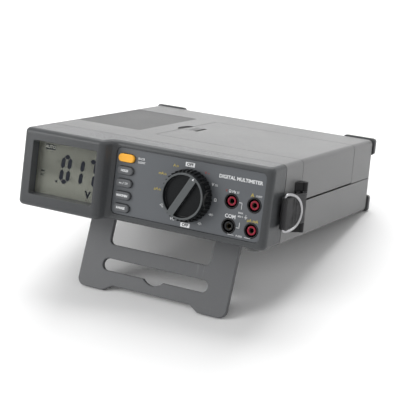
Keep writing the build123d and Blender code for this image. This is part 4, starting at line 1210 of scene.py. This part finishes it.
@dataclass
class PanelPrint:
    """Everything printed on the control panel.

    Attributes:
        letter: Height of a small capital letter.
        line: Width of a printed line.
    """

    letter: float = 2.5
    line: float = 0.45

    def __post_init__(self) -> None:
        """Finds the panel, the dial and the jacks in the frame."""
        self.front = LAYOUT.front
        self.low, self.high = self.front.extent("control_panel")
        self.dial = self.front.local(joint("dial_turn")["pos_m"])
        mounts = {item["name"]: item["pos_m"] for item in frame["record"]["mounts"]}
        names = ("volt", "amp", "common", "milliamp")
        self.jacks = {name: self.front.local(mounts[name + "_socket"]) for name in names}
        rise = self.high.z
        self.white = PrintLayer(self.front, rise)
        self.yellow = PrintLayer(self.front, rise)
        self.red = PrintLayer(self.front, rise)
        self.dark = PrintLayer(self.front, rise + 0.06)

    def _around(self, degrees: float, radius: float) -> Point2:
        """A place around the dial, in degrees clockwise from its top."""
        angle = math.radians(degrees)
        return self.dial.x + radius * math.sin(angle), self.dial.y + radius * math.cos(angle)

    def _both_ways(self, layer: PrintLayer, x: float, s: float) -> None:
        """The sign for alternating and direct current."""
        layer.text("~", x, s + 0.55, 2.2, bold=0.06)
        for i in (-1, 0, 1):
            layer.bar((x + i * 0.95 - 0.32, s - 0.9), (x + i * 0.95 + 0.32, s - 0.9), 0.34)
        layer.bar((x - 1.3, s - 0.3), (x + 1.3, s - 0.3), 0.34)

    def _direct(self, layer: PrintLayer, x: float, s: float) -> None:
        """The sign for direct current."""
        layer.bar((x - 1.4, s + 0.5), (x + 1.4, s + 0.5), 0.4)
        for i in (-1, 0, 1):
            layer.bar((x + i - 0.34, s - 0.5), (x + i + 0.34, s - 0.5), 0.4)

    def _dial_signs(self) -> None:
        """The signs around the dial."""
        size = self.letter
        for degrees, radius in ((356, 27.1), (180, 26.5)):
            x, s = self._around(degrees, radius)
            self.white.box(x, s, 9.4, 4.0, 0.4)
            self.dark.text("OFF", x, s, size, bold=0.12)
        x, s = self._around(35, 27.3)
        self.red.text("V", x - 1.5, s, size, bold=0.1)
        self.red.text("~", x + 1.6, s, size, bold=0.1)
        x, s = self._around(61, 27.6)
        self.white.text("V", x - 1.7, s, size, bold=0.08)
        self._direct(self.white, x + 1.8, s)
        self.white.text("Ω", *self._around(89, 26.6), size, bold=0.08)
        self._diode(*self._around(118, 27.2))
        self._capacitor(*self._around(148, 26.6))
        self.white.text("Hz", *self._around(210, 26.9), size, bold=0.05)
        self._sounder(*self._around(243, 28.6))
        currents = (("µA", 271, 31.9, 2.4), ("mA", 298, 32.0, 2.6), ("A", 326, 29.0, 1.9))
        for words, degrees, radius, spread in currents:
            x, s = self._around(degrees, radius)
            self.yellow.text(words, x - 0.6 * spread, s, size, bold=0.08)
            self._both_ways(self.yellow, x + spread, s)

    def _diode(self, x: float, s: float) -> None:
        """A diode's sign."""
        self.white.bar((x - 2.4, s), (x + 2.4, s), 0.4)
        self.white.plate([(x - 1.0, s - 1.2), (x + 0.9, s), (x - 1.0, s + 1.2)])
        self.white.bar((x + 1.1, s - 1.2), (x + 1.1, s + 1.2), 0.45)

    def _capacitor(self, x: float, s: float) -> None:
        """A capacitor's sign."""
        for side in (-1, 1):
            self.white.bar((x + side * 0.55, s - 1.3), (x + side * 0.55, s + 1.3), 0.45)
            self.white.bar((x + side * 0.6, s), (x + side * 2.2, s), 0.4)

    def _sounder(self, x: float, s: float) -> None:
        """A sounder's sign."""
        self.white.box(x - 1.6, s, 0.9, 0.9, 0.3)
        for step in range(3):
            self.white.arc(x - 1.8, s, 1.3 + 0.95 * step, 0.36, -42, 42, 6)

    def _key_words(self) -> None:
        """The words beside the top key."""
        low, high = self.front.extent("backlight_button")
        s = (low.y + high.y) / 2
        for words, drop in (("BACK", -1.3), ("LIGHT", 1.9)):
            self.white.text(words, high.x + 2.4, s - drop, 1.9, bold=0.05, align="LEFT")

    def _jack_signs(self) -> None:
        """The signs and lines around the jacks."""
        volt, amp, common, milliamp = (self.jacks[n] for n in ("volt", "amp", "common", "milliamp"))
        above = 8.3
        self.red.text("V", volt.x - 5.9, volt.y + above, 2.3, bold=0.08)
        self.white.text("Ω Hz", volt.x - 0.2, volt.y + above, 2.3, bold=0.06)
        for along in (4.8, 5.9):
            foot, head = volt.y + above - 1.0, volt.y + above + 1.0
            self.white.bar((volt.x + along, foot), (volt.x + along, head), 0.4)
        self.yellow.text("A", amp.x - 2.8, amp.y + above, 3.2, bold=0.12)
        self.white.text("FUSED", amp.x + 3.6, amp.y + above, 1.4, bold=0.03)
        self.white.text("COM", common.x + 0.6, common.y + above + 0.4, 3.2, bold=0.10)
        self.yellow.text("µA mA", milliamp.x + 0.2, milliamp.y + above, 2.6, bold=0.08)
        gap = volt.x + 10.2
        reach = 7.6
        self.white.path([(volt.x + reach, volt.y), (gap, volt.y), (gap, volt.y - 5.4)], self.line)
        self.white.path([(gap, common.y + 4.6), (gap, common.y), (common.x + reach, common.y)], self.line)
        self.white.text("MAX", gap, (volt.y + common.y) / 2 + 2.2, 1.5, bold=0.04)
        self.white.text("600 V", gap, (volt.y + common.y) / 2 - 0.9, 1.5, bold=0.04)
        under = common.y - 7.0
        mid = (common.x + milliamp.x) / 2
        for end, near in ((common.x, mid - 5.4), (milliamp.x, mid + 5.4)):
            self.white.path([(end, under + 1.2), (end, under), (near, under)], self.line)
        self.white.text("FUSED", mid, under, 1.5, bold=0.04)
        self._earth((volt.x + amp.x) / 2 + 4.4, (volt.y + common.y) / 2 - 0.6)

    def _earth(self, x: float, s: float) -> None:
        """An earth sign."""
        self.white.bar((x, s), (x, s + 2.2), 0.36)
        for step, half in enumerate((1.5, 1.0, 0.45)):
            self.white.bar((x - half, s - 0.75 * step), (x + half, s - 0.75 * step), 0.34)

    def build(self) -> None:
        """Prints the panel."""
        self._dial_signs()
        self._key_words()
        self._jack_signs()
        self.white.text("DIGITAL MULTIMETER", self.high.x - 24.4, self.high.y - 9.2, 3.0, bold=0.16)
        inks = {"white": INK_WHITE, "yellow": INK_YELLOW, "red": INK_RED, "dark": INK_DARK}
        for name, ink in inks.items():
            getattr(self, name).piece("panel_print_" + name, ink, Body.CASE, "panel_film")


@dataclass
class KeyColumn:
    """The words on the four grey keys.

    Attributes:
        words: What each key says.
        letter: Height of its letters.
    """

    words: dict[Body, tuple[str, str]] = field(
        default_factory=lambda: {
            Body.RANGE_KEY: ("range_button", "RANGE"),
            Body.MAX_MIN_KEY: ("max_min_button", "MAX/MIN"),
            Body.HOLD_KEY: ("hold_button", "HOLD"),
        }
    )
    letter: float = 2.0

    def build(self) -> None:
        """Prints the words, each riding its own key."""
        front = LAYOUT.front
        for body, (node, words) in self.words.items():
            low, high = front.extent(node)
            layer = PrintLayer(front, high.z)
            x, s = (low.x + high.x) / 2, (low.y + high.y) / 2
            layer.text(words, x, s, self.letter, bold=0.16, squeeze=0.95)
            layer.piece(node.replace("button", "legend"), INK_WHITE, body, "key_grey")
        low, high = front.extent("function_button")
        x, s = (low.x + high.x) / 2, (low.y + high.y) / 2
        layer = PrintLayer(front, high.z)
        layer.text("~", x - 3.0, s, 3.0, bold=0.15)
        layer.bar((x - 0.9, s - 1.2), (x + 0.7, s + 1.2), 0.4)
        layer.bar((x + 1.6, s + 0.6), (x + 4.8, s + 0.6), 0.5)
        for i in range(3):
            layer.bar((x + 1.6 + 1.2 * i, s - 0.6), (x + 2.3 + 1.2 * i, s - 0.6), 0.5)
        layer.piece("function_legend", INK_WHITE, Body.FUNCTION_KEY, "key_grey")


@dataclass
class Dial:
    """The pointer mark on the selector's bar.

    Attributes:
        bar_turn: Degrees clockwise from upright that the bar points.
        reach: From the dial's middle to the mark.
        size: Length of the mark.
    """

    bar_turn: float = 30.0
    reach: float = 17.8
    size: float = 2.6

    def build(self) -> None:
        """Prints the mark on the bar's outer end."""
        front = LAYOUT.front
        middle = front.local(joint("dial_turn")["pos_m"])
        top = front.extent("selector_dial")[1].z
        turn = math.radians(self.bar_turn)
        along = Vector((math.sin(turn), math.cos(turn)))
        side = Vector((along.y, -along.x))
        start = Vector((middle.x, middle.y)) + along * self.reach
        tip = start + along * self.size
        layer = PrintLayer(front, top)
        layer.plate([tuple(start + side * 0.9), tuple(tip), tuple(start - side * 0.9)])
        layer.piece("dial_mark", INK_WHITE, Body.DIAL, "dial_plastic")


@dataclass
class Webbing:
    """A loop of woven tape from its anchor pin to the carry ring's bar.

    Attributes:
        radius: From the pin's middle to the middle of the tape.
        tape: Thickness of the tape.
        width: Width of the tape.
        pinch: How far the two plies draw together between pin and ring.
        runs: Steps along each ply.
        turns: Steps round each end.
    """

    radius: float = 2.45
    tape: float = 1.4
    width: float = 27.6
    pinch: float = 1.55
    runs: int = 34
    turns: int = 10

    def _route(self, reach: float) -> list[Point2]:
        """The tape's closed middle line: forward from the pin, and outwards."""
        points: list[Point2] = []

        def ply(side: int, steps: Iterable[float]) -> None:
            for t in steps:
                drawn = self.pinch * math.sin(math.pi * min(1.0, max(0.0, (t - 0.04) / 0.92))) ** 2
                points.append((t * reach, side * (self.radius - drawn)))

        ply(1, [i / self.runs for i in range(self.runs)])
        for i in range(self.turns):
            a = math.pi / 2 - math.pi * i / self.turns
            points.append((reach + self.radius * math.cos(a), self.radius * math.sin(a)))
        ply(-1, [1 - i / self.runs for i in range(self.runs)])
        for i in range(self.turns):
            a = -math.pi / 2 - math.pi * i / self.turns
            points.append((self.radius * math.cos(a), self.radius * math.sin(a)))
        return points

    def _section(self) -> list[tuple[float, float]]:
        """The tape's cross-section: across its width and through it, with selvedge edges."""
        half, thick = self.width / 2, self.tape / 2
        steps = 18
        spread = [half * (2 * i / steps - 1) for i in range(steps + 1)]
        swell = [thick * (0.82 + 0.18 * math.cos(4 * math.pi * i / steps)) for i in range(steps + 1)]
        front = [(v, w) for v, w in zip(spread, swell)]
        back = [(v, -w) for v, w in zip(spread[::-1], swell[::-1])]
        edge_out = [(half + 0.25, 0.0)]
        edge_in = [(-half - 0.25, 0.0)]
        return front + edge_out + back + edge_in

    def build(self, side: int, name: str, body: Body) -> None:
        """Builds one side's tape and its seams.

        Args:
            side: 1 for the right, -1 for the left.
            name: The side's name.
            body: The body that the tape rides on.
        """
        pin = Vector(joint(name + "_tab_swing")["pos_m"])
        bar = Vector(joint(name + "_ring_swing")["pos_m"])
        plane = Face(pin, -LAYOUT.back, LAYOUT.across * side)
        reach = (bar - pin).length / MM
        route = [Vector(point) for point in self._route(reach)]
        section = self._section()
        lengths = [0.0]
        for a, b in zip(route, route[1:] + route[:1]):
            lengths.append(lengths[-1] + (b - a).length)
        tape = bmesh.new()
        uv = tape.loops.layers.uv.new("UVMap")
        rings = []
        for i, point in enumerate(route):
            ahead, behind = route[(i + 1) % len(route)], route[i - 1]
            along = (ahead - behind).normalized()
            normal = Vector((-along.y, along.x))
            rings.append(
                [
                    tape.verts.new(plane.at(*(point + normal * w), 0.0) + LAYOUT.up * v * MM)
                    for v, w in section
                ]
            )
        count = len(section)
        for i in range(len(route)):
            for j in range(count):
                k = (j + 1) % count
                n = (i + 1) % len(route)
                made = tape.faces.new((rings[i][j], rings[n][j], rings[n][k], rings[i][k]))
                made.smooth = True
                across = (section[j][0], section[k][0])
                corners = ((lengths[i], across[0]), (lengths[i + 1], across[0]))
                corners += ((lengths[i + 1], across[1]), (lengths[i], across[1]))
                for loop, place in zip(made.loops, corners):
                    loop[uv].uv = place
        bmesh.ops.recalc_face_normals(tape, faces=tape.faces)
        mesh = bpy.data.meshes.new(name + "_webbing")
        tape.to_mesh(mesh)
        tape.free()
        piece = add_piece(name + "_webbing", mesh, WEBBING, body)
        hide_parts(name + "_strap_tab")
        self._seams(plane, reach, name, body)

    def _seams(self, plane: Face, reach: float, name: str, body: Body) -> None:
        """Sews rows of stitches through the pinched plies, seen on both sides."""
        tree = StitchesOnSeam()
        half = self.width / 2 - 2.6
        meshes = []
        for out in (1, -1):
            for forward in (0.42, 0.58):
                x = forward * reach
                drawn = self.radius - self.pinch * math.sin(math.pi * (forward - 0.04) / 0.92) ** 2
                rise = out * (drawn + self.tape / 2)
                start = plane.at(x, rise) - LAYOUT.up * half * MM
                end = plane.at(x, rise) + LAYOUT.up * half * MM
                seam = bpy.data.curves.new("seam", "CURVE")
                seam.dimensions = "3D"
                spline = seam.splines.new("POLY")
                spline.points.add(1)
                spline.points[0].co = (*start, 1.0)
                spline.points[1].co = (*end, 1.0)
                meshes.append(
                    tree.grow(
                        "seam", seam, THREAD, Stitches=15, Thread=0.28 * MM, Stitch_Length=0.72 * MM
                    )
                )
        add_piece(name + "_webbing_stitches", join_meshes(meshes), THREAD, body)


@dataclass
class CaseTrim:
    """Ribs on the latch and the battery door, a blank rating label and door signs.

    Attributes:
        rib_radius: Radius of a grip rib.
        label_width: Width of the rating label.
        label_height: Height of the rating label.
    """

    rib_radius: float = 0.55
    label_width: float = 74.0
    label_height: float = 26.0

    def _latch_ribs(self) -> None:
        """Three grip ribs across the latch."""
        top = LAYOUT.top
        low, high = top.extent("lid_latch")
        seed = bpy.data.meshes.new("seed")
        step = 2.4
        middle = (low.y + high.y) / 2
        first = top.at(high.x - 2.0 - 2 * step, middle, high.z - 0.28)
        along = LAYOUT.back
        turn = along.to_track_quat("Z", "Y").to_euler()
        mesh = RibsInARow().grow(
            "latch_ribs", seed, LID_GREY, Count=3, First=tuple(first),
            Step=tuple(LAYOUT.across * step * MM), Rib_Radius=self.rib_radius * MM,
            Rib_Length=0.7 * (high.y - low.y) * MM, Turn=tuple(turn),
        )
        add_piece("latch_grip_ribs", mesh, LID_GREY, Body.LATCH)

    def _door_ribs(self) -> None:
        """A grip of five ribs and an arrow on the battery door."""
        under = LAYOUT.under
        low, high = under.extent("battery_door")
        seed = bpy.data.meshes.new("seed")
        step = 2.6
        middle = (low.x + high.x) / 2
        first = under.at(middle, low.y + 16.0, high.z - 0.25)
        turn = LAYOUT.across.to_track_quat("Z", "Y").to_euler()
        mesh = RibsInARow().grow(
            "door_ribs", seed, CASE_GREY, Count=5, First=tuple(first), Step=tuple(LAYOUT.back * step * MM),
            Rib_Radius=self.rib_radius * MM, Rib_Length=22.0 * MM, Turn=tuple(turn),
        )
        add_piece("battery_door_ribs", mesh, CASE_GREY, Body.CASE)
        sign = PrintLayer(under, high.z - 0.02)
        s = low.y + 33.0
        sign.plate([(middle - 4.0, s), (middle + 4.0, s), (middle, s + 6.0)], 0.4)
        for edge, mark in ((-20.0, "+"), (20.0, "−")):
            sign.text(mark, middle + edge, s + 2.0, 4.6, bold=0.1)
        sign.piece("battery_door_signs", CASE_GREY, Body.CASE, "case_plastic")

    def _rating_label(self) -> None:
        """A blank foil label with ruled lines on the rear."""
        rear = LAYOUT.rear
        surface = rear.extent("upper_case")[1].z
        low, high = rear.extent("lower_case")
        s = (low.y + high.y) / 2 + 1.0
        label = PrintLayer(rear, surface - 0.02)
        label.box(0.0, s, self.label_width, self.label_height * 0.9, 2.0, 0.14)
        label.piece("rating_label", LABEL_FOIL, Body.CASE, "case_plastic")
        ruled = PrintLayer(rear, surface + 0.12)
        half_w, half_h = self.label_width / 2 - 2.0, self.label_height * 0.45 - 2.0
        frame_line = [(i * half_w, s + j * half_h) for i, j in ((-1, -1), (1, -1), (1, 1), (-1, 1))]
        ruled.path(frame_line + frame_line[:1], 0.35)
        for i in range(3):
            line_s = s + half_h - 5.0 * (i + 1)
            ruled.bar((-half_w + 3.0, line_s), (half_w - 18.0, line_s), 0.5)
        ruled.piece("rating_label_lines", INK_DARK, Body.CASE, "case_plastic")

    def build(self) -> None:
        """Builds the trim."""
        self._latch_ribs()
        self._door_ribs()
        self._rating_label()


# ------------------------------------------------------------------ studio
@dataclass(frozen=True)
class Studio:
    """The floor, the lamps and the camera.

    Attributes:
        eye: The camera's place in level case millimetres.
        aim: What it looks at, in level case millimetres.
        roll: Degrees that it is rolled counter-clockwise.
        lens: Its focal length in millimetres on a 36 mm sensor.
    """

    eye: tuple[float, float, float] = (577.39, -986.09, 273.09)
    aim: tuple[float, float, float] = (59.76, 0.0, 34.53)
    roll: float = -5.685
    lens: float = 117.8

    def _floor(self) -> None:
        """A wide pale floor."""
        size = 6.0
        mesh = bpy.data.meshes.new("studio_floor")
        corners = [(i * size, j * size, 0.0) for i, j in ((-1, -1), (1, -1), (1, 1), (-1, 1))]
        mesh.from_pydata(corners, [], [(0, 1, 2, 3)])
        material = bpy.data.materials.new("studio_floor")
        material.use_nodes = True
        sheet = NodeSheet(material.node_tree)
        matt = sheet.add("ShaderNodeBsdfDiffuse", {"Color": (0.93, 0.93, 0.93, 1.0)})
        sheet.add("ShaderNodeOutputMaterial", {"Surface": matt.outputs[0]})
        mesh.materials.append(material)
        floor = bpy.data.objects.new("studio_floor", mesh)
        bpy.context.scene.collection.objects.link(floor)

    def _world(self, strength: float = 0.55) -> None:
        """A white room: plain light on the object, and white where it is seen or mirrored."""
        world = bpy.data.worlds.new("studio")
        world.use_nodes = True
        sheet = NodeSheet(world.node_tree)
        rays = sheet.add("ShaderNodeLightPath").outputs
        direct = sheet.math("MAXIMUM", rays["Is Camera Ray"], rays["Is Transmission Ray"])
        seen = sheet.math("MAXIMUM", direct, rays["Is Glossy Ray"])
        level = sheet.add(
            "ShaderNodeMapRange", {"Value": seen, "To Min": strength, "To Max": 1.0}
        ).outputs["Result"]
        sky = sheet.add("ShaderNodeBackground", {"Color": (1.0, 1.0, 1.0, 1.0), "Strength": level})
        sheet.add("ShaderNodeOutputWorld", {"Surface": sky.outputs[0]})
        bpy.context.scene.world = world

    def _lamp(self, name: str, place: Vector, size: float, power: float) -> None:
        """A square soft lamp that faces the object."""
        data = bpy.data.lights.new(name, "AREA")
        data.shape = "SQUARE"
        data.size = size
        data.energy = power
        lamp = bpy.data.objects.new(name, data)
        lamp.location = place
        aim = Vector((0.0, 0.0, 0.08)) - place
        lamp.rotation_mode = "QUATERNION"
        lamp.rotation_quaternion = aim.to_track_quat("-Z", "Y")
        bpy.context.scene.collection.objects.link(lamp)

    def _camera(self) -> None:
        """The camera, at the angle that the meter is seen from."""
        data = bpy.data.cameras.new("camera")
        data.lens = self.lens
        data.sensor_width = 36.0
        data.clip_start, data.clip_end = 0.05, 50.0
        camera = bpy.data.objects.new("camera", data)
        eye, aim = LAYOUT.point(*self.eye), LAYOUT.point(*self.aim)
        camera.location = eye
        camera.rotation_mode = "QUATERNION"
        level = (aim - eye).to_track_quat("-Z", "Y")
        camera.rotation_quaternion = level @ Quaternion((0.0, 0.0, 1.0), math.radians(self.roll))
        bpy.context.scene.collection.objects.link(camera)
        bpy.context.scene.camera = camera

    def build(self) -> None:
        """Sets the studio up."""
        self._floor()
        self._world()
        self._camera()
        self._lamp("top_softbox", Vector((-0.15, 0.75, 1.35)), 1.5, 24.0)
        self._lamp("key_softbox", Vector((-1.2, -1.0, 0.9)), 0.9, 15.0)
        self._lamp("side_softbox", Vector((1.5, 0.3, 0.7)), 0.8, 2.0)
        bpy.context.scene.view_settings.view_transform = "Standard"


def main() -> None:
    """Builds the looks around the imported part."""
    logging.basicConfig(level=logging.INFO, format="%(name)s: %(message)s")
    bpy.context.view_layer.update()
    Studio().build()
    dress_frame()
    Display().build()
    PanelPrint().build()
    KeyColumn().build()
    Dial().build()
    for side, name, body in ((1, "right", Body.RIGHT_TAB), (-1, "left", Body.LEFT_TAB)):
        Webbing().build(side, name, body)
    CaseTrim().build()


if __name__ == "__main__":
    main()
